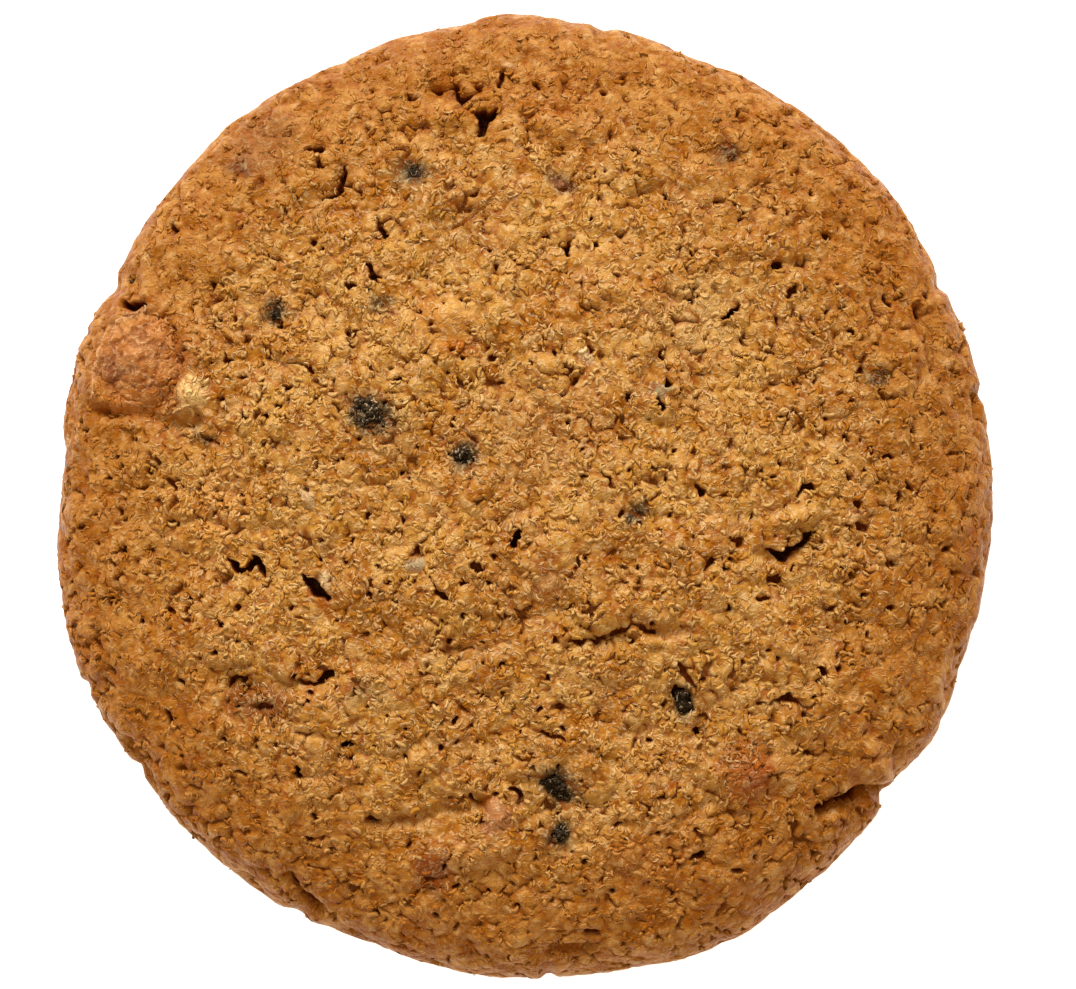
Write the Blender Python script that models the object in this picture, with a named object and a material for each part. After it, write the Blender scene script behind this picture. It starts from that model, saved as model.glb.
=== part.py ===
"""An oatmeal cranberry cookie: one thick drop-baked biscuit with fruit in its top.

The dough is one solid.  It starts as a sphere whose points are laid along the
biscuit's turned profile, then moved out and in by the swells of its outline, by
lumps, by cracks and by pits.  One large cranberry shows at the left rim under a
thin skin of crumb, and smaller dark bits of fruit sit in pockets of the top.

Lengths are in millimetres up to the moment they become mesh, which is in metres.
X is to the right, Y is away and Z is up, with the flat underside at Z = 0.
"""
import math

import bpy
import numpy as np
from mathutils import Matrix, Vector, noise

MM = 0.001

# ---- driving dimensions (mm) -------------------------------------------------
MEAN_RADIUS = 47.4
LENGTHENED = 0.57             # the outline is a little longer one way
LENGTHENED_TOWARDS = 93.7     # degrees from +X
OUTLINE_CENTRE = (0.25, -0.4)
THICKNESS = 16.8
WIDEST_HEIGHT = 5.6           # height of the line where the biscuit is widest
FOOT_INSET = 2.6              # the flat underside ends this far inside that line
CROWN_DROP = 6.8              # how far the gentle crown falls from the middle to the rim
CROWN_POWER = 1.8             # higher keeps the middle flatter
SHOULDER_POWER = 14.0         # higher makes the rounded shoulder narrower
CLEARANCE = 0.3               # gap between a piece of fruit and its pocket
POCKET_MARGIN = 1.25          # pockets are coarser than the fruit, so they are cut larger

# The dough's random relief: how high each kind stands, and how far across it is (mm).
SWELL_HEIGHT, SWELL_ACROSS = 0.5, 19.0
LUMP_HEIGHT, LUMP_ACROSS = 0.42, 7.5
CLUMP_HEIGHT, CLUMP_ACROSS = 0.42, 4.4
CRUMB_HEIGHT, CRUMB_ACROSS = 0.30, 2.4
BEND, BEND_ACROSS = 1.3, 7.0          # lumps and clumps are bent out of their grid
WANDER, WANDER_ACROSS = 0.35, 1.9     # the edges of cracks and pits are ragged
CREASE_SHARE = 0.5                    # how much of a clump its rounded side takes up
FADE_ABOVE_FLOOR = 2.5                # the relief grows from nothing over this height
TOP_FACING = 0.35                     # named forms fade where the surface is steeper
NOTCH_FROM = 0.8                      # notches start at this share of the radius

BALL_SUBDIVISIONS = 8         # the dough starts this fine, and is then thinned
DOUGH_TRIANGLES = 9600
RIM_FRUIT_SUBDIVISIONS = 4
RIM_FRUIT_TRIANGLES = 620
LARGE_BIT_SUBDIVISIONS = 3
SMALL_BIT_SUBDIVISIONS = 2
UNDERSIDE_SHARE = 0.12        # of the density of points that the top has

# The outline's broad swells and flats: direction, half width (both degrees), height.
SWELLS = [
    (42, 18, 0.5), (70, 9, -0.45), (91, 8, 0.7), (115, 9, -0.6), (150, 22, -0.45),
    (175, 9, -0.8), (200, 20, 0.65), (252, 15, -0.9), (294, 15, 0.85), (322, 8, -1.0),
    (342, 16, -0.35),
]

# Notches that bite into the rim: direction (degrees), half width, depth.
NOTCHES = [
    (13.0, 1.2, 0.35), (27.3, 1.4, 0.6), (80.6, 1.6, 0.45), (152.8, 1.8, 0.7), (203.0, 1.2, 0.5),
    (214.7, 1.4, 0.5), (241.0, 1.8, 0.6), (272.8, 1.2, 0.6), (320.5, 1.5, 0.8),
]

# Raised forms of the top: x, y, half length, half width, turn (degrees), height.
LUMPS = {
    "smooth_bump": (-7.3, 17.4, 3.8, 2.8, 10, 0.9),
    "lump_over_groove": (-5.0, -35.0, 6.5, 3.2, 12, 1.0),
    "smooth_piece": (-2.6, -31.7, 1.3, 1.7, 0, 0.7),
    "buried_fruit": (22.2, -27.0, 4.6, 3.8, -20, 1.0),
    "right_lobe": (34.2, -26.2, 4.5, 3.0, -60, 1.3),
    "ridge_over_lip": (8.6, -11.2, 5.4, 2.4, 14, 0.9),
    "granule_at_fruit": (-32.7, 10.2, 1.7, 1.7, 0, 1.1),
    "right_shoulder_lump": (38.4, 14.0, 3.6, 2.4, 80, 0.7),
    "left_shoulder_lump": (-36.5, -16.5, 5.0, 3.2, 70, 0.7),
    "crest_at_top_crack": (-7.2, 37.6, 4.6, 2.2, 4, 0.8),
    "crest_at_right_hollow": (26.6, -2.6, 3.6, 1.8, 12, 0.7),
    "centre_mound": (1.8, 12.4, 2.2, 2.0, 0, 0.7),
    "lower_left_lump": (-30.5, -22.5, 4.6, 3.0, 30, 0.8),
    "oat_flake_south": (-1.2, -26.6, 1.7, 1.1, -20, 0.6),
    "pale_granule_west": (-21.1, -0.2, 1.1, 1.1, 0, 0.6),
}

# Cracks and grooves: half width, depth, then the places they run through.
CRACKS = {
    "centre_lip": (0.85, 1.6, [(5.0, -14.6), (7.7, -14.5), (9.6, -13.7), (10.6, -12.9), (13.3, -13.3)]),
    "right_hollow": (1.0, 2.3, [(24.3, -5.5), (26.2, -5.7), (28.2, -4.6), (28.5, -4.0)]),
    "right_lower": (0.75, 1.3, [(23.6, -20.7), (25.6, -20.2), (27.2, -20.5)]),
    "top_long": (0.8, 1.6, [(-8.8, 40.5), (-6.8, 40.7), (-6.0, 39.7), (-4.9, 40.0), (-3.8, 40.6)]),
    "top_well": (1.0, 2.3, [(-3.3, 38.1), (-3.9, 37.2), (-4.3, 35.9)]),
    "upper_left": (0.8, 1.6, [(-19.5, 29.7), (-18.4, 29.7), (-17.7, 31.6)]),
    "upper_left_tail": (0.7, 1.5, [(-15.2, 23.4), (-14.8, 22.1), (-14.2, 21.2)]),
    "flaky_split": (0.7, 1.7, [(-10.5, -6.0), (-9.3, -7.7), (-8.0, -9.9), (-7.3, -10.2)]),
    "left_cluster": (0.95, 2.2, [(-29.1, -6.3), (-27.8, -7.5), (-26.7, -6.7), (-25.5, -8.0)]),
    "right_rim_split": (1.0, 2.6, [(29.8, -31.2), (32.2, -30.8), (34.4, -29.5), (36.2, -29.4)]),
    "left_rim_fold": (0.9, 1.5, [(-39.6, -24.6), (-38.2, -26.6), (-36.8, -29.2)]),
    "bottom_split": (0.9, 1.6, [(-23.4, -38.2), (-22.3, -40.2), (-20.4, -41.4)]),
    "bottom_rim_groove": (0.8, 1.0, [(2.9, -45.2), (6.8, -45.0)]),
    "right_rim_groove": (0.9, 1.0, [(39.4, 18.6), (40.6, 15.4), (40.8, 12.8)]),
    "right_rim_slit": (0.8, 1.0, [(45.2, 10.4), (45.7, 8.2)]),
    "upper_right": (0.7, 0.9, [(18.2, 29.5), (21.2, 30.5), (22.4, 30.9), (24.4, 29.9)]),
    "left_ridge_crack": (0.7, 1.0, [(-23.3, 13.0), (-22.3, 13.0), (-21.0, 12.4)]),
    "slot_above_fruit": (1.1, 2.6, [(-39.6, 18.7), (-37.6, 19.0)]),
    "crease_below_fruit": (1.3, 1.3, [(-42.0, 8.2), (-37.2, 7.9), (-34.3, 7.1), (-32.2, 7.2)]),
    "groove_below_lump": (1.1, 1.0, [(-14.8, -32.3), (-11.0, -32.3), (-7.6, -31.4), (-4.3, -30.4)]),
    "short_slit": (0.6, 1.0, [(7.8, 2.3), (8.6, 0.8)]),
}

# Pits of the crumb: x, y, radius, depth.
PITS = [
    (-20.3, -9.3, 1.15, 2.2), (-0.4, -4.1, 0.95, 2.2), (-17.3, -24.5, 0.8, 1.7), (-22.3, -27.5, 0.8, 1.7),
    (-20.8, 34.2, 1.0, 1.8), (-20.1, 33.0, 0.8, 1.5), (-6.3, 28.9, 0.8, 1.5), (-34.7, 26.6, 0.8, 1.3),
    (20.6, 18.1, 0.95, 1.7), (21.9, 15.4, 0.7, 1.2), (26.9, 19.9, 0.9, 1.4), (36.2, 19.3, 0.8, 1.8),
    (25.2, 23.1, 0.75, 1.3), (13.6, 9.1, 0.85, 1.8), (14.5, 11.3, 0.75, 1.4), (17.4, 0.9, 0.8, 1.4),
    (28.2, 0.6, 0.95, 1.7), (23.2, -10.3, 0.8, 1.2), (28.5, -11.1, 0.7, 1.2), (29.7, -17.4, 0.8, 1.4),
    (17.4, -35.6, 0.95, 1.8), (18.1, -21.9, 0.95, 1.4), (17.2, -23.5, 0.8, 1.3), (6.9, -43.5, 0.9, 1.3),
    (7.0, -37.9, 0.8, 1.1), (-0.7, -29.5, 0.9, 1.4), (-19.6, -18.4, 0.95, 1.7), (-28.7, -18.2, 1.2, 1.5),
    (-35.0, -22.2, 0.95, 1.4), (-27.9, -27.6, 0.8, 1.1), (-6.5, -42.6, 0.8, 1.2), (14.3, 29.5, 0.8, 1.3),
    (4.4, 24.6, 0.9, 1.7), (-4.5, -7.0, 1.0, 1.2), (18.6, -6.3, 0.8, 1.3), (16.0, -18.0, 1.1, 1.9),
    (-16.9, 18.0, 0.6, 0.8), (-14.2, 26.5, 0.8, 1.5), (33.2, -33.2, 1.1, 0.9), (31.2, -35.2, 1.0, 0.9),
    (27.6, -36.5, 1.2, 0.9), (-41.0, -18.2, 0.9, 1.0), (24.8, -8.0, 0.9, 1.1), (-11.3, 39.7, 0.7, 1.3),
]

# Bits of fruit in the top: x, y, half length, half width, half height, turn (degrees),
# how far the crown stands out of its dimple.
FRUIT_BITS = {
    "cranberry_west": (-14.7, 7.8, 2.3, 1.55, 1.1, -28, 0.7),
    "cranberry_centre": (-5.9, 3.8, 1.2, 1.15, 0.9, 20, 0.6),
    "cranberry_south": (3.3, -28.7, 2.0, 1.25, 1.0, -38, 0.7),
    "cranberry_south_small": (3.6, -33.6, 1.3, 1.2, 0.9, 40, 0.55),
    "cranberry_north": (-11.0, 31.8, 1.1, 1.0, 0.8, -50, 0.55),
    "cranberry_north_west": (-24.4, 17.9, 1.0, 0.9, 0.8, 60, 0.5),
    "cranberry_south_east": (15.7, -20.3, 1.5, 1.1, 0.9, -65, 0.55),
    "cranberry_east": (11.3, -1.6, 0.9, 0.85, 0.7, 0, 0.45),
    "cranberry_far_west": (-38.7, 21.3, 1.0, 0.8, 0.7, -45, 0.45),
    "cranberry_skin": (3.9, 31.0, 1.35, 0.9, 0.7, -22, 0.45),
}
LARGE_BIT = 1.25              # bits with a longer half length than this are modelled finer
DIMPLE_REACH = 1.7            # a bit's dimple is this many times as wide as the bit
DIMPLE_DEPTH = 0.6
BIT_WRINKLE = 0.2             # share of a bit's size that its wrinkles move
BIT_SQUARENESS = 2.0          # 2 is an oval ball, higher is boxier
WRINKLE_ACROSS = 0.75         # in half sizes of the piece

# The large cranberry at the left rim, tilted with the shoulder that it sits on.
RIM_FRUIT_AT = (-37.3, 13.3)
RIM_FRUIT_HALF = (5.1, 4.8, 3.0)
RIM_FRUIT_TILT = 19
RIM_FRUIT_SUNK = 1.2          # its middle lies this far under the dough's own surface
RIM_FRUIT_WRINKLE = 0.1
RIM_FRUIT_SQUARENESS = 2.7

CRUMB_COLOUR = (0.43, 0.18, 0.045)
RIM_FRUIT_COLOUR = (0.36, 0.13, 0.05)
DARK_FRUIT_COLOUR = (0.035, 0.022, 0.026)


# ---- small helpers -----------------------------------------------------------
def smooth_fall(distance, reach):
    """1 at the middle, 0 at the reach, with a soft foot and a soft crown."""
    inside = np.clip(1.0 - distance / reach, 0.0, 1.0)
    return inside * inside * (3.0 - 2.0 * inside)


def angle_between(a, b):
    """Smallest turn between two directions in degrees."""
    return np.abs((a - b + 180.0) % 360.0 - 180.0)


def distance_to_route(x, y, route):
    """Distance of each place to a line of straight runs."""
    nearest = np.full(x.shape, np.inf)
    for (ax, ay), (bx, by) in zip(route, route[1:]):
        run = np.array([bx - ax, by - ay])
        along = ((x - ax) * run[0] + (y - ay) * run[1]) / (run @ run)
        along = np.clip(along, 0.0, 1.0)
        nearest = np.minimum(nearest, np.hypot(x - ax - along * run[0], y - ay - along * run[1]))
    return nearest


def oval_distance(x, y, centre, half_length, half_width, turn):
    """0 at the middle of a turned oval, 1 on its edge."""
    c, s = math.cos(math.radians(turn)), math.sin(math.radians(turn))
    dx, dy = x - centre[0], y - centre[1]
    return np.hypot((c * dx + s * dy) / half_length, (c * dy - s * dx) / half_width)


def noise_field(points, wavelength, shift):
    """Smooth noise from -1 to 1 at each point, its lumps about one wavelength across."""
    offset = Vector(shift)
    return np.array([noise.noise(Vector(p) / wavelength + offset) for p in points])


def clump_field(points, size, shift):
    """Rounded clumps with creases between them: 1 on a clump, 0 in a crease."""
    offset = Vector(shift)
    gaps = []
    for p in points:
        distances, _ = noise.voronoi(Vector(p) / size + offset)
        gaps.append(distances[1] - distances[0])
    return 1.0 - (1.0 - np.clip(np.array(gaps) / CREASE_SHARE, 0.0, 1.0)) ** 2


def make_material(name, colour, roughness):
    material = bpy.data.materials.new(name)
    material.use_nodes = True
    shader = material.node_tree.nodes["Principled BSDF"]
    shader.inputs["Base Color"].default_value = (*colour, 1.0)
    shader.inputs["Roughness"].default_value = roughness
    shader.inputs["Metallic"].default_value = 0.0
    material.diffuse_color = (*colour, 1.0)
    return material


def add_ball(name, subdivisions, collection):
    """An even ball of radius 1 in its collection, ready to be shaped."""
    bpy.ops.mesh.primitive_ico_sphere_add(subdivisions=subdivisions, radius=1.0)
    ball = bpy.context.object
    ball.name = name
    ball.data.name = name
    for other in ball.users_collection:
        other.objects.unlink(ball)
    collection.objects.link(ball)
    return ball


def read_points(mesh):
    points = np.empty(len(mesh.vertices) * 3)
    mesh.vertices.foreach_get("co", points)
    return points.reshape(-1, 3)


def write_points(mesh, points):
    mesh.vertices.foreach_set("co", points.ravel())
    mesh.update()


def thin_to(piece, triangles):
    """Keep the faces where the form turns, and join them where it is plain."""
    thin = piece.modifiers.new("fewer_faces", "DECIMATE")
    thin.ratio = triangles / len(piece.data.polygons)
    bpy.context.view_layer.objects.active = piece
    bpy.ops.object.modifier_apply(modifier=thin.name)


# ---- the dough ---------------------------------------------------------------
def turned_profile():
    """The profile from the middle of the top, over the shoulder, to the middle below.

    Each row is the radius as a share of the outline's, and the height.
    """
    rows = []
    for step in np.linspace(0.0, 1.0, 160):
        share = math.sin(step * math.pi / 2)
        crown = THICKNESS - WIDEST_HEIGHT - CROWN_DROP * share ** CROWN_POWER
        shoulder = math.sqrt(1.0 - share ** SHOULDER_POWER)
        rows.append((share, WIDEST_HEIGHT + crown * shoulder))
    foot = 1.0 - FOOT_INSET / MEAN_RADIUS
    for turn in np.linspace(0.0, math.pi / 2, 24)[1:]:
        rows.append((foot + (1.0 - foot) * math.cos(turn), WIDEST_HEIGHT * (1.0 - math.sin(turn))))
    for share in np.linspace(foot, 0.0, 40)[1:]:
        rows.append((share, 0.0))
    return np.array(rows)


def outline_radius(direction):
    """Radius of the outline in each direction (degrees), without the notches."""
    radius = MEAN_RADIUS + LENGTHENED * np.cos(np.radians(2 * (direction - LENGTHENED_TOWARDS)))
    for towards, half_width, height in SWELLS:
        radius = radius + height * smooth_fall(angle_between(direction, towards), half_width)
    return radius


def notch_depth(direction):
    """How far the rim's notches bite in, in each direction (degrees)."""
    depth = np.zeros(direction.shape)
    for towards, half_width, bite in NOTCHES:
        reach = math.degrees(half_width / MEAN_RADIUS)
        depth += bite * smooth_fall(angle_between(direction, towards), reach)
    return depth


def lay_on_profile(ball_points):
    """Lay a ball's points along the profile, and give each its outward direction.

    A ball's rings and the profile's rings of equal area are matched, so the points
    stay evenly spread; the plain underside gets only a share of them.
    """
    rows = turned_profile()
    radius, height = rows[:, 0] * MEAN_RADIUS, rows[:, 1]
    ring = (radius[1:] + radius[:-1]) / 2 * np.hypot(np.diff(radius), np.diff(height))
    ring[height[1:] <= 0.0] *= UNDERSIDE_SHARE
    area = np.concatenate([[0.0], np.cumsum(ring)]) / ring.sum()

    polar = (1.0 - ball_points[:, 2]) / 2
    direction = np.degrees(np.arctan2(ball_points[:, 1], ball_points[:, 0]))
    share = np.interp(polar, area, rows[:, 0])
    z = np.interp(polar, area, height)

    slope_r, slope_z = np.gradient(radius), np.gradient(height)
    length = np.hypot(slope_r, slope_z)
    out_r = np.interp(polar, area, -slope_z / length)
    out_z = np.interp(polar, area, slope_r / length)

    near_rim = np.clip((share - NOTCH_FROM) / (1.0 - NOTCH_FROM), 0.0, 1.0) ** 2
    above_foot = np.clip(z / WIDEST_HEIGHT, 0.0, 1.0)
    reach = outline_radius(direction) * share - notch_depth(direction) * near_rim * above_foot
    cosine, sine = np.cos(np.radians(direction)), np.sin(np.radians(direction))
    points = np.stack([OUTLINE_CENTRE[0] + reach * cosine, OUTLINE_CENTRE[1] + reach * sine, z], axis=1)
    outward = np.stack([out_r * cosine, out_r * sine, out_z], axis=1)
    return points, outward


def relief(points):
    """Height of the dough's random relief: swells, lumps, clumps and coarse crumb."""
    bend = [noise_field(points, BEND_ACROSS, (i * 9.1, 3.7, i * 4.3)) for i in range(3)]
    bent = points + BEND * np.stack(bend, axis=1)
    return (
        SWELL_HEIGHT * noise_field(points, SWELL_ACROSS, (4.1, 0.3, 8.8))
        + LUMP_HEIGHT * noise_field(bent, LUMP_ACROSS, (1.7, 6.2, 2.4))
        + CLUMP_HEIGHT * (clump_field(bent, CLUMP_ACROSS, (8.3, 2.9, 5.5)) - 0.7)
        + CRUMB_HEIGHT * noise_field(bent, CRUMB_ACROSS, (3.3, 1.1, 7.9))
    )


def carved(x, y):
    """Height that the named forms of the top add at each place seen from above."""
    height = np.zeros(x.shape)
    for lump_x, lump_y, half_length, half_width, turn, rise in LUMPS.values():
        place = oval_distance(x, y, (lump_x, lump_y), half_length, half_width, turn)
        height += rise * smooth_fall(place, 1.0)
    for bit_x, bit_y, half_length, half_width, _, turn, _ in FRUIT_BITS.values():
        place = oval_distance(x, y, (bit_x, bit_y), half_length, half_width, turn)
        height -= DIMPLE_DEPTH * smooth_fall(place, DIMPLE_REACH)
    cut = np.zeros(x.shape)
    for half_width, depth, route in CRACKS.values():
        cut = np.maximum(cut, depth * smooth_fall(distance_to_route(x, y, route), half_width))
    for pit_x, pit_y, radius, depth in PITS:
        cut = np.maximum(cut, depth * smooth_fall(np.hypot(x - pit_x, y - pit_y), radius))
    return height - cut


def make_dough(collection):
    dough = add_ball("cookie_dough", BALL_SUBDIVISIONS, collection)
    points, outward = lay_on_profile(read_points(dough.data))

    on_top = np.clip(outward[:, 2] / TOP_FACING, 0.0, 1.0)
    off_floor = np.clip(points[:, 2] / FADE_ABOVE_FLOOR, 0.0, 1.0)
    seen_x = points[:, 0] + WANDER * noise_field(points, WANDER_ACROSS, (5.0, 2.0, 1.0))
    seen_y = points[:, 1] + WANDER * noise_field(points, WANDER_ACROSS, (5.0, 3.0, 1.0))
    moved = relief(points) * off_floor + carved(seen_x, seen_y) * on_top
    points = points + outward * moved[:, None]
    points[:, 2] = np.maximum(points[:, 2], 0.0)
    write_points(dough.data, points * MM)

    thin_to(dough, DOUGH_TRIANGLES)
    dough.data.shade_smooth()
    dough.data.materials.append(make_material("baked_crumb", CRUMB_COLOUR, 0.8))
    return dough


# ---- the fruit ---------------------------------------------------------------
def shaped_ball(name, subdivisions, half_sizes, squareness, wrinkle, seed, grown, collection):
    """A wrinkled ball of fruit; grown makes it larger all round, for its pocket."""
    ball = add_ball(name, subdivisions, collection)
    unit = read_points(ball.data)
    boxed = (np.abs(unit) ** squareness).sum(axis=1) ** (-1.0 / squareness)
    folds = noise_field(unit, WRINKLE_ACROSS, (seed * 3.1, seed * 1.7, 0.5))
    size = boxed * (1.0 + wrinkle * folds)
    points = unit * size[:, None] * np.array(half_sizes) + unit * grown
    write_points(ball.data, points * MM)
    return ball


def surface_height(dough, x, y):
    """Height of the dough's top at a place."""
    above = Vector((x * MM, y * MM, 2 * THICKNESS * MM))
    _, where, _, _ = dough.ray_cast(above, Vector((0, 0, -1)))
    return where.z / MM


def place_fruit(name, subdivisions, shape, matrix, parts, cutters):
    """A piece of fruit, and the slightly larger cutter that makes its pocket."""
    fruit = shaped_ball(name, subdivisions, *shape, 0.0, parts)
    coarser = max(subdivisions - 1, SMALL_BIT_SUBDIVISIONS)
    cutter = shaped_ball(name + "_pocket", coarser, *shape, CLEARANCE * POCKET_MARGIN, cutters)
    fruit.matrix_world = matrix
    cutter.matrix_world = matrix
    fruit.data.shade_smooth()
    cutter.hide_render = True
    cutter.display_type = "WIRE"
    return fruit, cutter


def make_rim_fruit(dough, parts, cutters):
    """The large cranberry at the left rim; returns the cutter of its pocket."""
    x, y = RIM_FRUIT_AT
    z = surface_height(dough, x, y) - RIM_FRUIT_SUNK
    towards_rim = math.atan2(y - OUTLINE_CENTRE[1], x - OUTLINE_CENTRE[0])
    tilt = Matrix.Rotation(math.radians(RIM_FRUIT_TILT), 4, "Y")
    matrix = Matrix.Translation(Vector((x, y, z)) * MM) @ Matrix.Rotation(towards_rim, 4, "Z") @ tilt
    shape = (RIM_FRUIT_HALF, RIM_FRUIT_SQUARENESS, RIM_FRUIT_WRINKLE, 4)
    fruit, cutter = place_fruit("cranberry_rim", RIM_FRUIT_SUBDIVISIONS, shape, matrix, parts, cutters)
    thin_to(fruit, RIM_FRUIT_TRIANGLES)
    fruit.data.materials.append(make_material("crusted_cranberry", RIM_FRUIT_COLOUR, 0.6))
    return cutter


def make_fruit_bits(dough, parts, cutters):
    """The small dark bits in the top; returns the cutters of their pockets."""
    pockets = []
    skin = make_material("dark_cranberry", DARK_FRUIT_COLOUR, 0.45)
    for seed, (name, sizes) in enumerate(FRUIT_BITS.items(), start=11):
        x, y, half_length, half_width, half_height, turn, stands_out = sizes
        z = surface_height(dough, x, y) + stands_out - half_height
        matrix = Matrix.Translation(Vector((x, y, z)) * MM) @ Matrix.Rotation(math.radians(turn), 4, "Z")
        fineness = LARGE_BIT_SUBDIVISIONS if half_length > LARGE_BIT else SMALL_BIT_SUBDIVISIONS
        shape = ((half_length, half_width, half_height), BIT_SQUARENESS, BIT_WRINKLE, seed)
        fruit, cutter = place_fruit(name, fineness, shape, matrix, parts, cutters)
        fruit.data.materials.append(skin)
        pockets.append(cutter)
    return pockets


def cut_pockets(dough, cutters):
    for cutter in cutters:
        cut = dough.modifiers.new(cutter.name, "BOOLEAN")
        cut.operation = "DIFFERENCE"
        cut.solver = "EXACT"
        cut.object = cutter


def add_collection(name):
    collection = bpy.data.collections.new(name)
    bpy.context.scene.collection.children.link(collection)
    return collection


def main():
    for leftover in list(bpy.data.objects):
        bpy.data.objects.remove(leftover, do_unlink=True)
    parts = add_collection("oatmeal_cranberry_cookie")
    cutters = add_collection("pocket_cutters")

    dough = make_dough(parts)
    pockets = [make_rim_fruit(dough, parts, cutters)] + make_fruit_bits(dough, parts, cutters)
    cut_pockets(dough, pockets)


main()
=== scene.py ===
# %% [markdown]
# # An oatmeal cranberry cookie
# A thick biscuit, dropped on the sheet by the spoon and baked until its top is
# honey brown. It is 94 mm across. The whole character of such a biscuit is in its
# surface: lumps of dough, clumps on the lumps, granules on the clumps, curled
# flakes of bran on the granules, and dark pores between all of them. The cells
# below build those sizes one after the other, from the broad form to the finest
# flakes, and then add the fruit.
#
# Lengths are in millimetres up to the moment when they become mesh, in metres.

import math

import bpy
import numpy as np
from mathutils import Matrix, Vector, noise


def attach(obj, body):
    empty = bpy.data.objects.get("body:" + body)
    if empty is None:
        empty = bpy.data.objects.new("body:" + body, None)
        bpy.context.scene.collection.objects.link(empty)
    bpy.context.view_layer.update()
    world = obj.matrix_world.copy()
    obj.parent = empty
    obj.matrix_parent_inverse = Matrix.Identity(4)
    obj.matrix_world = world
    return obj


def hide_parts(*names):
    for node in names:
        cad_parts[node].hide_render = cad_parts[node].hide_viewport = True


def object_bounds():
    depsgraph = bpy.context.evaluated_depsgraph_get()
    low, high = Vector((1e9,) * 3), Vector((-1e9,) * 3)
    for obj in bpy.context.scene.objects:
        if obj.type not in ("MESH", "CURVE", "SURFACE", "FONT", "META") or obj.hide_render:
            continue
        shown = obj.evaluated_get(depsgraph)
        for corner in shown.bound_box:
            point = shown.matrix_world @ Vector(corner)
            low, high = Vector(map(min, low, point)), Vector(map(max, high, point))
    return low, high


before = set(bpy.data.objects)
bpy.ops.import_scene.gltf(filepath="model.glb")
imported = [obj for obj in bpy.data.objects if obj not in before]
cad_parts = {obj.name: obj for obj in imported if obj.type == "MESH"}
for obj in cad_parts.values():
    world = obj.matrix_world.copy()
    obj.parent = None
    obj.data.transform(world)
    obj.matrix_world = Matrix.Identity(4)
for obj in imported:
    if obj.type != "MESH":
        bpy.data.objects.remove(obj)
solid_low, solid_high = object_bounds()
MM = 0.001
noise.seed_set(1)             # or noise_vector gives other swirls each time Blender starts
print("frame:", len(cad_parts), "solids,", [round(v / MM, 1) for v in solid_high - solid_low], "mm")

# %% [markdown]
# ## Small helpers
# Operators act on whatever is selected, and the loaded frame is all selected, so
# each step starts by letting go of everything. The two point functions hand a
# mesh's places to numpy in millimetres and back: sculpting in code is moving an
# array of points.

# %% Helpers for selection and points
def only(piece):
    """Select one piece and nothing else."""
    bpy.ops.object.select_all(action="DESELECT")
    piece.select_set(True)
    bpy.context.view_layer.objects.active = piece
    return piece


def points_of(piece):
    """The places of a piece's points, in mm."""
    flat = np.empty(len(piece.data.vertices) * 3)
    piece.data.vertices.foreach_get("co", flat)
    return flat.reshape(-1, 3) / MM


def move_points(piece, points):
    """Put a piece's points at new places, given in mm."""
    piece.data.vertices.foreach_set("co", (points * MM).ravel())
    piece.data.update()


def normals_of(piece):
    """The outward direction at each point."""
    flat = np.empty(len(piece.data.vertices) * 3, np.float32)
    piece.data.vertices.foreach_get("normal", flat)
    return flat.reshape(-1, 3).astype(float)


def store(piece, name, values):
    """Keep a number (or a colour with its share) for each point, for the materials to read."""
    kind, field = ("FLOAT", "value") if values.ndim == 1 else ("FLOAT_COLOR", "color")
    layer = piece.data.attributes.new(name, kind, "POINT")
    layer.data.foreach_set(field, values.astype(np.float32).ravel())


def stored(piece, name):
    """Read such numbers back."""
    values = np.empty(len(piece.data.vertices), np.float32)
    piece.data.attributes[name].data.foreach_get("value", values)
    return values.astype(float)


def apply_modifier(piece, kind, **settings):
    """Add a modifier, set it, and make its result the piece's own mesh."""
    only(piece)
    modifier = piece.modifiers.new(kind.lower(), kind)
    for setting, value in settings.items():
        setattr(modifier, setting, value)
    bpy.ops.object.modifier_apply(modifier=modifier.name)


# %% Soft steps and noises
def smooth_step(value, low, high):
    """0 below low, 1 above high, and a soft slope between."""
    share = np.clip((value - low) / (high - low), 0.0, 1.0)
    return share * share * (3.0 - 2.0 * share)


def within(span, share):
    """The low end of a span at share 0, its high end at share 1."""
    return span[0] + (span[1] - span[0]) * share


def noise_at(points, wavelength, shift):
    """Smooth noise from -1 to 1, its lumps about one wavelength across.

    Each use has a shift of its own, so that no two patterns have their lumps at the same places.
    """
    return np.array([noise.noise(place) for place in (points / wavelength + shift).tolist()])


def swirl_at(points, wavelength, shift):
    """Three noises at once: a direction and length for each place."""
    return np.array([noise.noise_vector(place) for place in (points / wavelength + shift).tolist()])


def cells_at(points, size, shift):
    """Distances from each place to its nearest three of many scattered centres, in cell sizes."""
    places = (points / size + shift).tolist()
    return np.array([noise.voronoi(place)[0][:3] for place in places])


# %% [markdown]
# ## Camera and light
# The biscuit was photographed from straight above with a long lens, and lit from
# the top of the picture and a little from the left, low enough that every granule
# throws a small shadow. A sun lamp with a wide angle is a soft key light, and a
# warm world fills the shadows. The floor is nearly white.

# %% Camera
MM_PER_PIXEL = 0.1
PICTURE_WIDTH = 1076          # pixels
MIDDLE_OF_PICTURE = (1.5, 0.1)    # where it lies on the biscuit
WIDEST_HEIGHT = 5.6           # height of the line where the biscuit is widest
LENS = 180.0
SENSOR = 36.0


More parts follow.
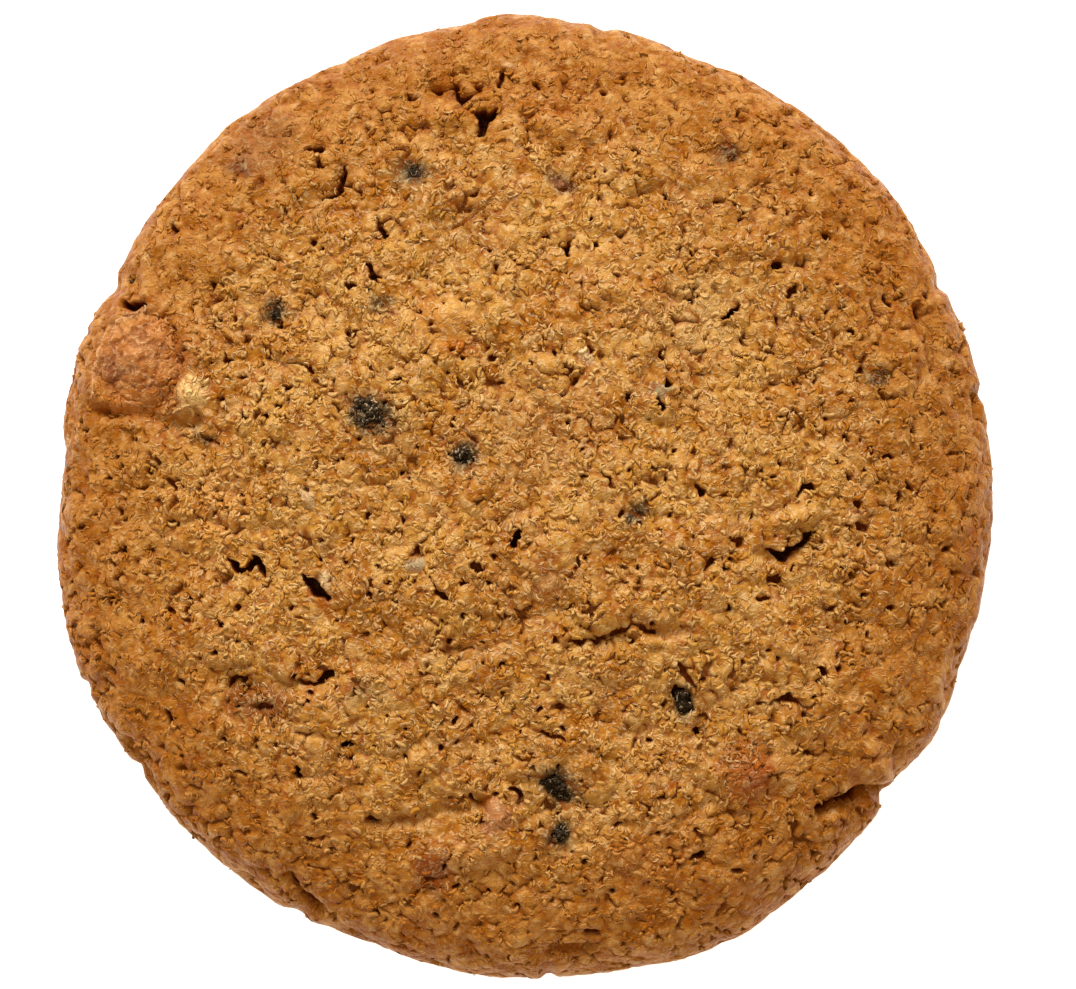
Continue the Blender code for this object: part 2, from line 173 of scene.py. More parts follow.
def add_camera():
    """A long lens straight above the biscuit, as far off as the picture's scale asks."""
    distance = PICTURE_WIDTH * MM_PER_PIXEL * LENS / SENSOR
    data = bpy.data.cameras.new("camera")
    data.lens = LENS
    data.sensor_width = SENSOR
    camera = bpy.data.objects.new("camera", data)
    bpy.context.scene.collection.objects.link(camera)
    camera.location = [v * MM for v in (*MIDDLE_OF_PICTURE, WIDEST_HEIGHT + distance)]
    bpy.context.scene.camera = camera
    print("camera", round(distance), "mm above the rim")


add_camera()

# %% Light
KEY_FROM = 100.0              # degrees from +X, seen from above
KEY_HEIGHT = 34.0             # degrees above the floor
KEY_STRENGTH = 3.24
KEY_SOFTNESS = 28.0           # degrees across
FILL_STRENGTH = 0.61
KEY_COLOUR, FILL_COLOUR = (1.0, 1.045, 1.11), (1.0, 0.85, 0.6)


def add_lights():
    """The key light is a wide sun, and the world fills the shadows."""
    sun = bpy.data.lights.new("key", "SUN")
    sun.energy = KEY_STRENGTH
    sun.color = KEY_COLOUR
    sun.angle = math.radians(KEY_SOFTNESS)
    key = bpy.data.objects.new("key", sun)
    bpy.context.scene.collection.objects.link(key)
    key.rotation_euler = (math.radians(90.0 - KEY_HEIGHT), 0.0, math.radians(KEY_FROM + 90.0))
    world = bpy.data.worlds.new("studio")
    world.use_nodes = True
    bpy.context.scene.world = world
    world.node_tree.nodes["Background"].inputs["Color"].default_value = (*FILL_COLOUR, 1.0)
    world.node_tree.nodes["Background"].inputs["Strength"].default_value = FILL_STRENGTH
    bpy.context.scene.view_settings.view_transform = "Standard"


add_lights()
print("light from", KEY_FROM, "degrees round and", KEY_HEIGHT, "degrees up")

# %% Floor
FLOOR_SIZE = 4000.0
FLOOR_GAP = 0.02              # the biscuit's flat foot and the floor don't share a plane
FLOOR_COLOUR, FLOOR_ROUGHNESS, FLOOR_GLOW = (0.93, 0.93, 0.93, 1.0), 0.8, 0.8


def add_floor():
    """A white table that glows a little, for the picture only."""
    bpy.ops.object.select_all(action="DESELECT")
    bpy.ops.mesh.primitive_plane_add(size=FLOOR_SIZE * MM, location=(0.0, 0.0, -FLOOR_GAP * MM))
    floor = bpy.context.object
    floor.name = "floor"
    white = bpy.data.materials.new("white_table")
    white.use_nodes = True
    shader = white.node_tree.nodes["Principled BSDF"]
    shader.inputs["Base Color"].default_value = FLOOR_COLOUR
    shader.inputs["Roughness"].default_value = FLOOR_ROUGHNESS
    shader.inputs["Emission Color"].default_value = (1.0, 1.0, 1.0, 1.0)
    shader.inputs["Emission Strength"].default_value = FLOOR_GLOW
    floor.data.materials.append(white)


add_floor()

# %% [markdown]
# ## The dough: broad form
# Under its crumb the biscuit is a turned form: a gentle crown, a rounded shoulder,
# a small undercut and a flat underside. One could spin such a profile, but a spun
# shape has all its points crowded at the pole. Here an even ball is laid along the
# profile instead: each ring of the ball goes to the ring of equal area on the
# biscuit, so the points stay evenly spread wherever the crumb needs them. The
# numbers are those of the solid, so the dressed biscuit keeps its form.

# %% Driving sizes of the dough (mm)
MEAN_RADIUS = 47.4
LENGTHENED, LENGTHENED_TOWARDS = 0.57, 93.7     # what an oval adds to the radius, in which direction
OUTLINE_CENTRE = (0.25, -0.4)
THICKNESS = 16.8
FOOT_INSET = 2.6              # how far the undercut goes in
CROWN_DROP, CROWN_POWER = 6.8, 1.8     # how the crown falls away from the middle
SHOULDER_POWER = 14.0         # the higher it is, the tighter the shoulder turns
CROWN_STEPS, UNDERCUT_STEPS, UNDERSIDE_STEPS = 160, 24, 40
NOTCH_FROM = 0.8              # share of the radius where a notch starts to bite
UNDERSIDE_SHARE = 0.12        # of the density of points that the top has

# The outline's broad swells and flats: direction, half width (both degrees), height.
SWELLS = [
    (42, 18, 0.5), (70, 9, -0.45), (91, 8, 0.7), (115, 9, -0.6), (150, 22, -0.45),
    (175, 9, -0.8), (200, 20, 0.65), (252, 15, -0.9), (294, 15, 0.85), (322, 8, -1.0),
    (342, 16, -0.35),
]

# Notches that bite into the rim: direction (degrees), half width, depth.
NOTCHES = [
    (13.0, 1.2, 0.35), (27.3, 1.4, 0.6), (80.6, 1.6, 0.45), (152.8, 1.8, 0.7), (203.0, 1.2, 0.5),
    (214.7, 1.4, 0.5), (241.0, 1.8, 0.6), (272.8, 1.2, 0.6), (320.5, 1.5, 0.55),
]


# %% The profile and the outline
def smooth_fall(distance, reach):
    """1 at the middle, 0 at the reach, with a soft foot and a soft crown."""
    return smooth_step(1.0 - distance / reach, 0.0, 1.0)


def angle_between(a, b):
    """Degrees from one direction to another, the short way round."""
    return np.abs((a - b + 180.0) % 360.0 - 180.0)


def turned_profile():
    """Radius (as a share) and height, from the middle of the top to the middle below."""
    rows = []
    for step in np.linspace(0.0, 1.0, CROWN_STEPS):
        share = math.sin(step * math.pi / 2)
        crown = THICKNESS - WIDEST_HEIGHT - CROWN_DROP * share ** CROWN_POWER
        rows.append((share, WIDEST_HEIGHT + crown * math.sqrt(1.0 - share ** SHOULDER_POWER)))
    foot = 1.0 - FOOT_INSET / MEAN_RADIUS
    for turn in np.linspace(0.0, math.pi / 2, UNDERCUT_STEPS)[1:]:
        rows.append((foot + (1.0 - foot) * math.cos(turn), WIDEST_HEIGHT * (1.0 - math.sin(turn))))
    for share in np.linspace(foot, 0.0, UNDERSIDE_STEPS)[1:]:
        rows.append((share, 0.0))
    return np.array(rows)


def outline_radius(direction):
    """Radius of the biscuit in each direction, without its notches."""
    radius = MEAN_RADIUS + LENGTHENED * np.cos(np.radians(2 * (direction - LENGTHENED_TOWARDS)))
    for towards, half_width, height in SWELLS:
        radius = radius + height * smooth_fall(angle_between(direction, towards), half_width)
    return radius


def notch_depth(direction):
    """How deep the notches bite into the rim in each direction."""
    depth = np.zeros(direction.shape)
    for towards, half_width, bite in NOTCHES:
        reach = math.degrees(half_width / MEAN_RADIUS)
        depth += bite * smooth_fall(angle_between(direction, towards), reach)
    return depth


def lay_on_profile(ball_points):
    """Places, outward directions, and how far along the profile each point of a ball goes (mm)."""
    rows = turned_profile()
    radius, height = rows[:, 0] * MEAN_RADIUS, rows[:, 1]
    run = np.hypot(np.diff(radius), np.diff(height))
    ring = (radius[1:] + radius[:-1]) / 2 * run
    ring[height[1:] <= 0.0] *= UNDERSIDE_SHARE
    area = np.concatenate([[0.0], np.cumsum(ring)]) / ring.sum()
    along = np.concatenate([[0.0], np.cumsum(run)])

    polar = (1.0 - ball_points[:, 2]) / 2
    direction = np.degrees(np.arctan2(ball_points[:, 1], ball_points[:, 0]))
    share = np.interp(polar, area, rows[:, 0])
    z = np.interp(polar, area, height)
    slope_r, slope_z = np.gradient(radius), np.gradient(height)
    length = np.hypot(slope_r, slope_z)
    out_r = np.interp(polar, area, -slope_z / length)
    out_z = np.interp(polar, area, slope_r / length)

    near_rim = np.clip((share - NOTCH_FROM) / (1.0 - NOTCH_FROM), 0.0, 1.0) ** 2
    above_foot = np.clip(z / WIDEST_HEIGHT, 0.0, 1.0)
    reach = outline_radius(direction) * share - notch_depth(direction) * near_rim * above_foot
    cosine, sine = np.cos(np.radians(direction)), np.sin(np.radians(direction))
    middle_x, middle_y = OUTLINE_CENTRE
    points = np.stack([middle_x + reach * cosine, middle_y + reach * sine, z], axis=1)
    outward = np.stack([out_r * cosine, out_r * sine, out_z], axis=1)
    return points, outward, np.interp(polar, area, along)


# %% [markdown]
# ## The dough: lumps, cracks and pits with a place of their own
# Some forms can be pointed at in the photograph: the smooth orange bump, the lump
# over the groove at the bottom, the split at the right rim, the black pits. Each
# has a name or a place and a size here, and is raised or carved where it belongs.

# %% Raised forms: x, y, half length, half width, turn (degrees), height
LUMPS = {
    "smooth_bump": (-7.3, 17.4, 3.8, 2.8, 10, 0.9),
    "lump_over_groove": (-5.0, -35.0, 6.5, 3.2, 12, 1.0),
    "smooth_piece": (-2.6, -31.7, 1.3, 1.7, 0, 0.7),
    "buried_fruit": (22.2, -27.0, 4.6, 3.8, -20, 1.0),
    "right_lobe": (34.2, -26.2, 4.5, 3.0, -60, 1.3),
    "ridge_over_lip": (8.6, -11.2, 5.4, 2.4, 14, 0.9),
    "granule_at_fruit": (-32.5, 9.7, 1.8, 1.6, 0, 0.9),
    "right_shoulder_lump": (38.4, 14.0, 3.6, 2.4, 80, 0.7),
    "left_shoulder_lump": (-36.5, -16.5, 5.0, 3.2, 70, 0.7),
    "crest_at_top_crack": (-7.2, 37.6, 4.6, 2.2, 4, 0.8),
    "crest_at_right_hollow": (26.6, -2.6, 3.6, 1.8, 12, 0.7),
    "centre_mound": (1.8, 12.4, 2.2, 2.0, 0, 0.7),
    "lower_left_lump": (-30.5, -22.5, 4.6, 3.0, 30, 0.8),
    "oat_flake_south": (-1.2, -26.6, 1.7, 1.1, -20, 0.6),
    "pale_granule_west": (-21.1, -0.2, 1.1, 1.1, 0, 0.6),
}

# %% Soft grooves and valleys: half width, depth, then the places they run through
GROOVES = {
    "left_rim_fold": (0.9, 1.2, [(-39.6, -24.6), (-38.2, -26.6), (-36.8, -29.2)]),
    "bottom_rim_groove": (0.8, 1.0, [(2.9, -45.2), (6.8, -45.0)]),
    "right_rim_groove": (0.9, 1.0, [(39.4, 18.6), (40.6, 15.4), (40.8, 12.8)]),
    "right_rim_slit": (0.8, 1.0, [(45.2, 10.4), (45.7, 8.2)]),
    "crease_below_fruit": (1.2, 1.2, [(-42.0, 8.2), (-37.2, 7.9), (-34.3, 7.1), (-32.2, 7.2)]),
    "groove_below_lump": (1.2, 0.9, [(-14.8, -32.3), (-11.0, -32.3), (-7.6, -31.4), (-4.3, -30.4)]),
    "under_centre_lip": (1.1, 0.7, [(4.4, -14.8), (8.5, -14.4), (12.5, -13.6), (16.0, -13.4)]),
    "under_right_hollow": (1.2, 0.8, [(23.4, -5.9), (25.8, -6.4), (28.6, -4.6)]),
    "left_ledge": (1.3, 0.6, [(-31.0, -18.2), (-27.0, -18.6), (-22.0, -18.9), (-18.6, -18.2)]),
    "buried_fruit_left": (0.9, 0.7, [(17.7, -22.5), (17.6, -26.5), (18.4, -30.5)]),
    "right_rim_split": (1.3, 1.6, [(29.8, -31.2), (32.2, -30.8), (34.4, -29.5), (36.2, -29.4)]),
    "bottom_split": (1.1, 0.9, [(-23.4, -38.2), (-22.3, -40.2), (-20.4, -41.4)]),
    "top_crack_valley": (1.2, 0.6, [(-9.2, 40.4), (-6.2, 39.8), (-3.8, 40.5)]),
}

# %% Open holes and cracks: depth, then places with the half width of the opening there
HOLES = {
    "left_cluster": (2.2, [(-29.2, -6.2, .15), (-28.3, -7.3, .38), (-27.3, -7.4, .28), (-26.7, -6.4, .45)]),
    "left_cluster_branch": (2.0, [(-26.5, -6.4, .4), (-25.8, -7.3, .42), (-25.5, -8.1, .2)]),
    "west_pit": (2.2, [(-21.8, -7.9, .15), (-21.0, -8.7, .5), (-20.2, -9.6, .65), (-19.4, -10.1, .3)]),
    "flaky_split": (1.6, [(-9.6, -7.2, .12), (-8.8, -8.6, .16), (-8.3, -9.6, .28), (-7.4, -10.1, .28)]),
    "flaky_split_top": (1.2, [(-10.8, -5.9, .2), (-10.4, -5.2, .28)]),
    "centre_pit": (2.2, [(-0.9, -4.6, .48), (-0.3, -3.6, .38), (-0.1, -3.0, .15)]),
    "grey_pit": (1.0, [(-4.7, -6.9, .6), (-4.2, -7.3, .5)]),
    "centre_lip": (1.1, [(4.7, -14.5, .2), (5.5, -14.5, .35), (6.5, -14.1, .15), (7.4, -14.5, .3),
                         (8.5, -13.8, .2), (9.6, -13.6, .38), (10.7, -12.6, .2), (12.9, -13.6, .35)]),
    "crescent_pit": (1.5, [(27.0, 0.0, .15), (27.7, 0.8, .4), (28.6, 0.8, .42), (28.8, 0.3, .2)]),
    "right_hollow": (2.0, [(24.1, -5.3, .15), (25.2, -5.6, .35), (25.7, -6.2, .5), (26.5, -5.4, .35),
                           (27.5, -4.9, .35), (28.2, -4.2, .5), (28.7, -3.8, .3)]),
    "top_long": (1.5, [(-9.2, 40.6, .1), (-8.2, 40.4, .28), (-7.3, 40.6, .15), (-6.7, 40.8, .25),
                       (-6.0, 39.3, .38), (-5.3, 39.9, .28), (-4.1, 40.6, .2)]),
    "top_slot": (1.2, [(-2.3, 40.8, .3), (-2.0, 41.8, .38)]),
    "top_left_pit": (1.2, [(-11.4, 39.6, .38), (-10.6, 39.5, .25)]),
    "top_well": (2.3, [(-4.5, 37.9, .4), (-3.9, 37.5, .62), (-3.1, 37.7, .5), (-2.5, 38.3, .2)]),
    "top_well_foot": (2.1, [(-3.9, 36.9, .5), (-4.0, 36.0, .5), (-4.5, 35.7, .3)]),
    "upper_left_pit": (1.6, [(-21.5, 34.2, .2), (-20.8, 34.3, .4), (-20.0, 34.2, .35)]),
    "upper_left_round": (1.1, [(-20.3, 33.0, .45), (-20.1, 32.8, .45)]),
    "upper_left_crack": (1.6, [(-17.6, 32.4, .25), (-17.8, 31.5, .38), (-17.9, 30.6, .3),
                               (-18.3, 29.9, .35), (-19.2, 29.7, .2), (-20.0, 29.8, .12)]),
    "upper_left_tail": (1.5, [(-14.5, 27.8, .12), (-14.2, 26.9, .25), (-13.8, 26.1, .38),
                              (-13.5, 25.7, .25)]),
    "over_smooth_bump": (1.8, [(-15.7, 23.1, .2), (-15.2, 22.6, .3), (-14.9, 22.0, .28), (-14.7, 21.5, .42),
                               (-14.0, 21.5, .2)]),
    "north_fork": (1.6, [(3.8, 24.6, .15), (4.4, 24.4, .38), (4.5, 23.7, .32)]),
    "north_fork_arm": (1.3, [(4.5, 24.6, .28), (5.0, 25.5, .15)]),
    "north_slit": (1.1, [(2.1, 25.4, .28), (2.9, 25.0, .18)]),
    "south_pit": (2.0, [(-17.6, -24.7, .38), (-17.0, -24.3, .42)]),
    "south_west_pit": (2.0, [(-22.3, -26.8, .25), (-22.2, -27.6, .42)]),
    "ledge_left": (1.1, [(-29.1, -18.4, .25), (-28.2, -18.1, .42), (-27.6, -18.3, .32)]),
    "ledge_right": (1.6, [(-22.6, -18.4, .12), (-20.5, -18.6, .25), (-19.4, -17.9, .45),
                          (-18.8, -17.5, .2)]),
    "groove_pit": (1.2, [(-15.2, -32.0, .28), (-14.5, -32.4, .3), (-14.0, -32.4, .15)]),
    "left_foot_pit": (1.4, [(-35.2, -21.7, .42), (-35.0, -22.4, .35)]),
    "bottom_split_top": (1.3, [(-23.5, -38.2, .2), (-22.8, -38.9, .38), (-22.3, -39.8, .2)]),
    "bottom_split_foot": (1.6, [(-21.9, -40.2, .4), (-21.4, -40.8, .5), (-20.7, -41.3, .3)]),
    "south_east_pit": (2.0, [(16.9, -35.7, .3), (17.7, -35.5, .45)]),
    "north_east_pit": (1.9, [(19.9, 17.6, .2), (20.6, 18.0, .42), (21.2, 18.7, .25), (21.6, 19.2, .12)]),
    "north_east_foot": (1.0, [(21.6, 15.4, .3), (22.3, 14.9, .18)]),
    "far_east_pit": (2.0, [(36.0, 19.5, .38), (36.3, 19.1, .42)]),
    "east_upper_pit": (1.5, [(25.2, 22.8, .42), (24.9, 22.6, .3)]),
    "east_shadow": (1.1, [(26.8, 20.4, .4), (26.2, 19.8, .28)]),
    "east_slot": (1.0, [(25.2, 17.6, .3), (25.1, 17.0, .25)]),
    "upper_arc": (0.9, [(23.2, 31.1, .2), (22.3, 30.3, .16), (21.3, 29.9, .1)]),
    "upper_arc_right": (0.9, [(22.9, 30.5, .12), (23.5, 29.9, .2), (24.6, 29.7, .12)]),
    "upper_dash": (0.9, [(24.0, 30.9, .16), (24.8, 31.0, .22)]),
    "upper_dash_low": (1.0, [(19.0, 29.1, .3), (20.0, 29.3, .15)]),
    "upper_middle": (1.2, [(14.0, 29.9, .22), (14.3, 29.5, .32), (14.8, 29.2, .15)]),
    "white_flake_pit": (1.8, [(13.4, 9.2, .4), (13.9, 8.9, .42)]),
    "white_flake_top": (1.5, [(14.1, 11.6, .2), (14.3, 11.0, .36)]),
    "dash_a": (0.9, [(16.5, 14.3, .16), (17.4, 14.0, .25)]),
    "dash_b": (0.9, [(14.2, 20.0, .16), (15.1, 19.8, .2)]),
    "dash_c": (0.9, [(16.5, 20.2, .18), (17.2, 19.6, .2), (18.1, 20.2, .12)]),
    "dash_d": (0.9, [(22.2, 12.3, .2), (22.9, 11.9, .15)]),
    "dash_e": (0.9, [(28.9, 12.0, .14), (28.8, 11.3, .25)]),
    "dash_f": (0.9, [(31.5, 14.4, .12), (31.8, 13.9, .22)]),
    "rim_dash": (1.2, [(39.5, 18.8, .2), (39.7, 18.0, .28)]),
    "slot_above_fruit": (2.6, [(-39.7, 19.1, .25), (-38.9, 18.8, .48), (-38.2, 18.7, .52),
                               (-37.5, 18.9, .35)]),
    "left_top_pit": (1.4, [(-34.9, 26.9, .25), (-34.5, 26.2, .42)]),
    "left_top_dot": (1.0, [(-37.1, 23.9, .28), (-36.8, 23.8, .2)]),
    "left_rim_dot": (1.2, [(-28.8, 31.4, .2), (-28.5, 31.1, .25)]),
    "over_granule": (1.0, [(-27.3, 15.7, .18), (-27.3, 15.3, .3)]),
    "left_ridge_crack": (1.2, [(-23.4, 13.1, .16), (-22.3, 13.1, .2), (-21.5, 12.8, .18),
                               (-21.0, 12.3, .3)]),
    "west_slit": (1.1, [(-17.3, 15.5, .15), (-17.0, 14.8, .3)]),
    "west_shadow": (0.8, [(-20.4, 11.4, .28), (-19.6, 10.7, .2)]),
    "grey_hollow": (0.9, [(-31.7, 5.9, .2), (-30.9, 5.5, .38)]),
    "left_brown_a": (0.8, [(-36.7, 4.0, .25), (-36.0, 3.2, .38)]),
    "left_brown_b": (0.8, [(-34.9, 1.5, .35), (-34.4, 0.7, .38)]),
    "left_brown_c": (0.8, [(-34.8, -2.6, .3), (-34.1, -2.8, .3)]),
    "left_dark_a": (1.0, [(-35.1, -11.3, .32), (-34.5, -11.8, .2)]),
    "left_dark_b": (1.0, [(-33.5, -12.3, .2), (-32.9, -12.4, .26)]),
    "left_dark_c": (1.2, [(-30.4, -12.2, .15), (-29.8, -12.7, .36)]),
    "low_left_hollow": (0.9, [(-26.2, -20.9, .35), (-24.9, -20.8, .32)]),
    "low_left_dot": (1.1, [(-28.2, -27.3, .3), (-27.6, -27.6, .26)]),
    "oat_crack": (0.9, [(-0.9, -25.6, .15), (0.0, -26.0, .28), (0.5, -26.2, .2)]),
    "south_dark": (1.4, [(-1.2, -28.9, .22), (-0.5, -29.4, .38), (-0.3, -29.9, .32)]),
    "south_dash": (1.0, [(2.6, -20.9, .18), (3.6, -20.8, .3), (4.4, -20.9, .15)]),
    "south_dots": (1.0, [(2.1, -23.5, .3), (3.9, -23.9, .28)]),
    "fruit_cavity": (0.9, [(15.5, -16.6, .32), (15.9, -17.6, .55), (16.8, -18.7, .3)]),
    "fruit_cavity_low": (1.2, [(15.2, -19.2, .5), (15.8, -20.0, .85), (16.4, -20.9, .6)]),
    "east_low_pit": (1.5, [(17.2, -23.4, .42), (17.5, -23.7, .3)]),
    "east_low_brown": (0.8, [(17.8, -21.9, .3), (18.6, -22.0, .3)]),
    "east_low_arc": (0.8, [(18.0, -24.1, .15), (18.7, -24.7, .16), (19.4, -24.4, .12)]),
    "right_lower": (1.2, [(24.3, -20.4, .15), (25.4, -20.1, .28), (26.3, -20.0, .38), (27.2, -20.3, .2)]),
    "right_low_pit": (1.4, [(29.6, -17.3, .38), (30.1, -17.8, .22)]),
    "lobe_split": (2.2, [(29.3, -31.3, .38), (30.4, -31.2, .2), (31.6, -30.7, .2), (32.7, -30.8, .42),
                         (33.8, -29.8, .36), (35.0, -28.9, .4)]),
    "right_dash": (1.1, [(18.0, -7.2, .15), (18.6, -6.4, .4)]),
    "right_shadow_a": (0.8, [(20.6, -4.3, .45), (21.4, -4.6, .5)]),
    "right_shadow_b": (0.9, [(24.4, -8.3, .5), (25.2, -8.3, .45)]),
    "right_shadow_c": (0.8, [(33.2, -3.0, .5), (33.9, -3.3, .35)]),
    "right_dot": (1.1, [(23.3, -10.2, .3), (24.1, -10.0, .25)]),
    "centre_arc": (1.2, [(7.8, 2.3, .13), (8.5, 1.5, .3), (8.8, 0.8, .2)]),
    "centre_dot": (1.1, [(5.8, 1.7, .2), (6.1, 2.1, .28)]),
    "right_centre": (1.4, [(17.0, 0.9, .22), (17.7, 0.3, .42)]),
    "lower_rim_a": (1.1, [(6.2, -43.4, .3), (7.1, -43.5, .36)]),
    "lower_rim_b": (0.8, [(15.9, -41.5, .2), (15.6, -42.7, .28)]),
    "lower_rim_c": (0.8, [(-6.4, -42.4, .3), (-6.6, -42.9, .3)]),
}

# %% Bits of fruit in the top: x, y, half length, half width, turn (degrees)
FRUIT_BITS = {
    "cranberry_west": (-14.7, 7.8, 2.3, 1.55, -28),
    "cranberry_centre": (-5.9, 3.8, 1.2, 1.15, 20),
    "cranberry_south": (3.3, -28.7, 2.0, 1.25, -38),
    "cranberry_south_small": (3.6, -33.6, 1.3, 1.2, 40),
    "cranberry_north": (-11.0, 31.8, 1.1, 1.0, -50),
    "cranberry_north_west": (-24.4, 17.9, 1.0, 0.9, 60),
    "cranberry_south_east": (15.7, -20.3, 1.5, 1.1, -65),
    "cranberry_east": (11.3, -1.6, 0.9, 0.85, 0),
    "cranberry_far_west": (-38.7, 21.3, 1.0, 0.8, -45),
    "cranberry_skin": (3.9, 31.0, 1.35, 0.9, -22),
}
DIMPLE_REACH, DIMPLE_DEPTH = 1.7, 0.6

# The whole fruit at the rim, and the collar of crumb that climbs its side.
RIM_FRUIT = (-37.4, 13.3, 5.5, 5.2, 0)
COLLAR_HEIGHT, COLLAR_AT, COLLAR_REACH = 0.45, 1.05, 0.4

# The pale fold of skin that runs from the slot round the fruit; its paleness is partly its own and partly
# painted sheen.
FOLD_HALF_WIDTH, FOLD_HEIGHT = 0.5, 0.35
FOLD_ROUTE = [(-37.3, 18.3), (-40.3, 17.5), (-41.6, 16.4), (-42.6, 13.0), (-42.7, 9.7)]
print("named places:", len(LUMPS), "lumps,", len(GROOVES), "grooves,", len(HOLES), "holes,",
      len(FRUIT_BITS), "bits of fruit")


# %% Raising and carving the named forms
def along_route(x, y, route):
    """For each place: its distance to a line of straight runs, and the half width there."""
    nearest, width = np.full(x.shape, np.inf), np.ones(x.shape)
    for (ax, ay, aw), (bx, by, bw) in zip(route, route[1:]):
        run = np.array([bx - ax, by - ay])
        share = np.clip(((x - ax) * run[0] + (y - ay) * run[1]) / (run @ run), 0.0, 1.0)
        distance = np.hypot(x - ax - share * run[0], y - ay - share * run[1])
        wide = aw + share * (bw - aw)
        closer = distance / wide < nearest / width
        nearest, width = np.where(closer, distance, nearest), np.where(closer, wide, width)
    return nearest, width


def oval_distance(x, y, middle_x, middle_y, half_length, half_width, turn):
    """0 at the middle of a turned oval, 1 on its edge."""
    c, s = math.cos(math.radians(turn)), math.sin(math.radians(turn))
    dx, dy = x - middle_x, y - middle_y
    return np.hypot((c * dx + s * dy) / half_length, (c * dy - s * dx) / half_width)


def near_line(x, y, half_width, route):
    """1 on the line that runs through a route's places, 0 from the half width on."""
    distance, _ = along_route(x, y, [(*place, half_width) for place in route])
    return smooth_fall(distance, half_width)


def raised(x, y):
    """Height that the lumps add and the grooves and dimples take away."""
    height = np.zeros(x.shape)
    for *oval, rise in LUMPS.values():
        height += rise * smooth_fall(oval_distance(x, y, *oval), 1.0)
    for oval in FRUIT_BITS.values():
        height -= DIMPLE_DEPTH * smooth_fall(oval_distance(x, y, *oval), DIMPLE_REACH)
    to_collar = np.abs(oval_distance(x, y, *RIM_FRUIT) - COLLAR_AT)
    height += COLLAR_HEIGHT * smooth_fall(to_collar, COLLAR_REACH)
    for half_width, depth, route in GROOVES.values():
        height -= depth * near_line(x, y, half_width, route)
    return height


def folded(x, y):
    """1 on the crest of the fold of skin round the rim fruit, 0 away from it."""
    return near_line(x, y, FOLD_HALF_WIDTH, FOLD_ROUTE)


# %% Small pores strewn between: how far apart, half width, half length, depth (low and high)
PORE_SEED, PORES_TO, PORES_APART = 5, 46.0, 2.0
PORE_HALF_WIDTH, PORE_HALF_LENGTH, PORE_DEPTHS = (0.12, 0.34), (0.08, 0.6), (0.5, 1.3)
PORE_BEND = 0.8
DENSE_ACROSS, DENSE_SHARE = 11.0, 0.3        # where the crumb is dense it has no such pores


def strewn_pores():
    """Short bent slits, written as HOLES are, one in each square of a well shaken grid."""
    random = np.random.default_rng(PORE_SEED)
    corners = np.arange(-PORES_TO, PORES_TO, PORES_APART)
    pores = []
    for corner_x in corners:
        for corner_y in corners:
            middle = np.array((corner_x, corner_y)) + random.uniform(0.0, PORES_APART, 2)
            size, stretch, turn, bend, kept = random.random(5)
            if kept < DENSE_SHARE + noise.noise((*(middle / DENSE_ACROSS), 3.3)):
                continue
            half_width = within(PORE_HALF_WIDTH, size ** 2)
            half_length = within(PORE_HALF_LENGTH, stretch ** 2)
            ahead = half_length * np.array((math.cos(turn * math.pi), math.sin(turn * math.pi)))
            aside = PORE_BEND * (2.0 * bend - 1.0) * np.array((-ahead[1], ahead[0]))
            route = [(*(middle - ahead), half_width / 2), (*(middle + aside), half_width),
                     (*(middle + ahead), half_width / 2)]
            pores.append((within(PORE_DEPTHS, size), route))
    return pores


# %% Carving the open holes
HOLE_WALL = (0.55, 1.12)      # a hole's wall stands between these shares of its half width
HOLE_REACH = 1.5              # no hole is wider than this to either side of its line
FULL_DEPTH_AT = 0.36          # a hole narrower than this half width is shallower too


def holed(x, y):
    """Depth of the open holes and cracks at each place, with steep walls and flat bottoms."""
    cut = np.zeros(x.shape)
    from_left = np.argsort(x)
    for depth, route in [*HOLES.values(), *strewn_pores()]:
        places = np.array(route)
        low, high = places[:, :2].min(0) - HOLE_REACH, places[:, :2].max(0) + HOLE_REACH
        first, last = np.searchsorted(x, (low[0], high[0]), sorter=from_left)
        near = from_left[first:last]
        near = near[(y[near] > low[1]) & (y[near] < high[1])]
        distance, width = along_route(x[near], y[near], route)
        wall = smooth_step(distance / width, *HOLE_WALL)
        full = depth * np.minimum(width / FULL_DEPTH_AT, 1.0)
        cut[near] = np.maximum(cut[near], full * (1.0 - wall))
    return cut


# %% [markdown]
# ## The dough: crumb
# Between the named forms the surface follows a rule at each size: lumps of 7 mm,
# clumps of 4 mm, granules of 2 mm, grains of 1 mm and flakes of half that. Clumps,
# granules and grains are made with scattered centres: a place that is equally far
# from two centres lies in the crease between two grains, and one that is equally
# far from three lies at a corner, which is where the pores of a baked crumb open.
# The pattern is bent or swirled by noise first, so that no cell keeps its straight
# sides.

# %% Sizes of the crumb (mm)
# Noise: height, width across.
SWELL_HEIGHT, SWELL_ACROSS = 0.5, 19.0
LUMP_HEIGHT, LUMP_ACROSS = 0.95, 7.5
COARSE_HEIGHT, COARSE_ACROSS = 0.32, 2.4
FLAKE_HEIGHT, FLAKE_ACROSS = 0.11, 0.55

# Cells: height and width across, then the crease's share of a cell and the mean level of a back.
CLUMP_HEIGHT, CLUMP_ACROSS, CLUMP_CREASE, CLUMP_LEVEL = 0.52, 4.4, 0.5, 0.7
GRANULE_HEIGHT, GRANULE_ACROSS, GRANULE_CREASE, GRANULE_LEVEL = 0.13, 2.0, 0.4, 0.75
GRAIN_HEIGHT, GRAIN_ACROSS, GRAIN_CREASE, GRAIN_LEVEL = 0.09, 1.05, 0.5, 0.7

# How far a pattern's places are moved to bend it, and over what width.
BEND, BEND_ACROSS = 1.3, 7.0
WANDER, WANDER_ACROSS = 0.35, 1.9
CURL, CURL_ACROSS = 0.7, 1.7

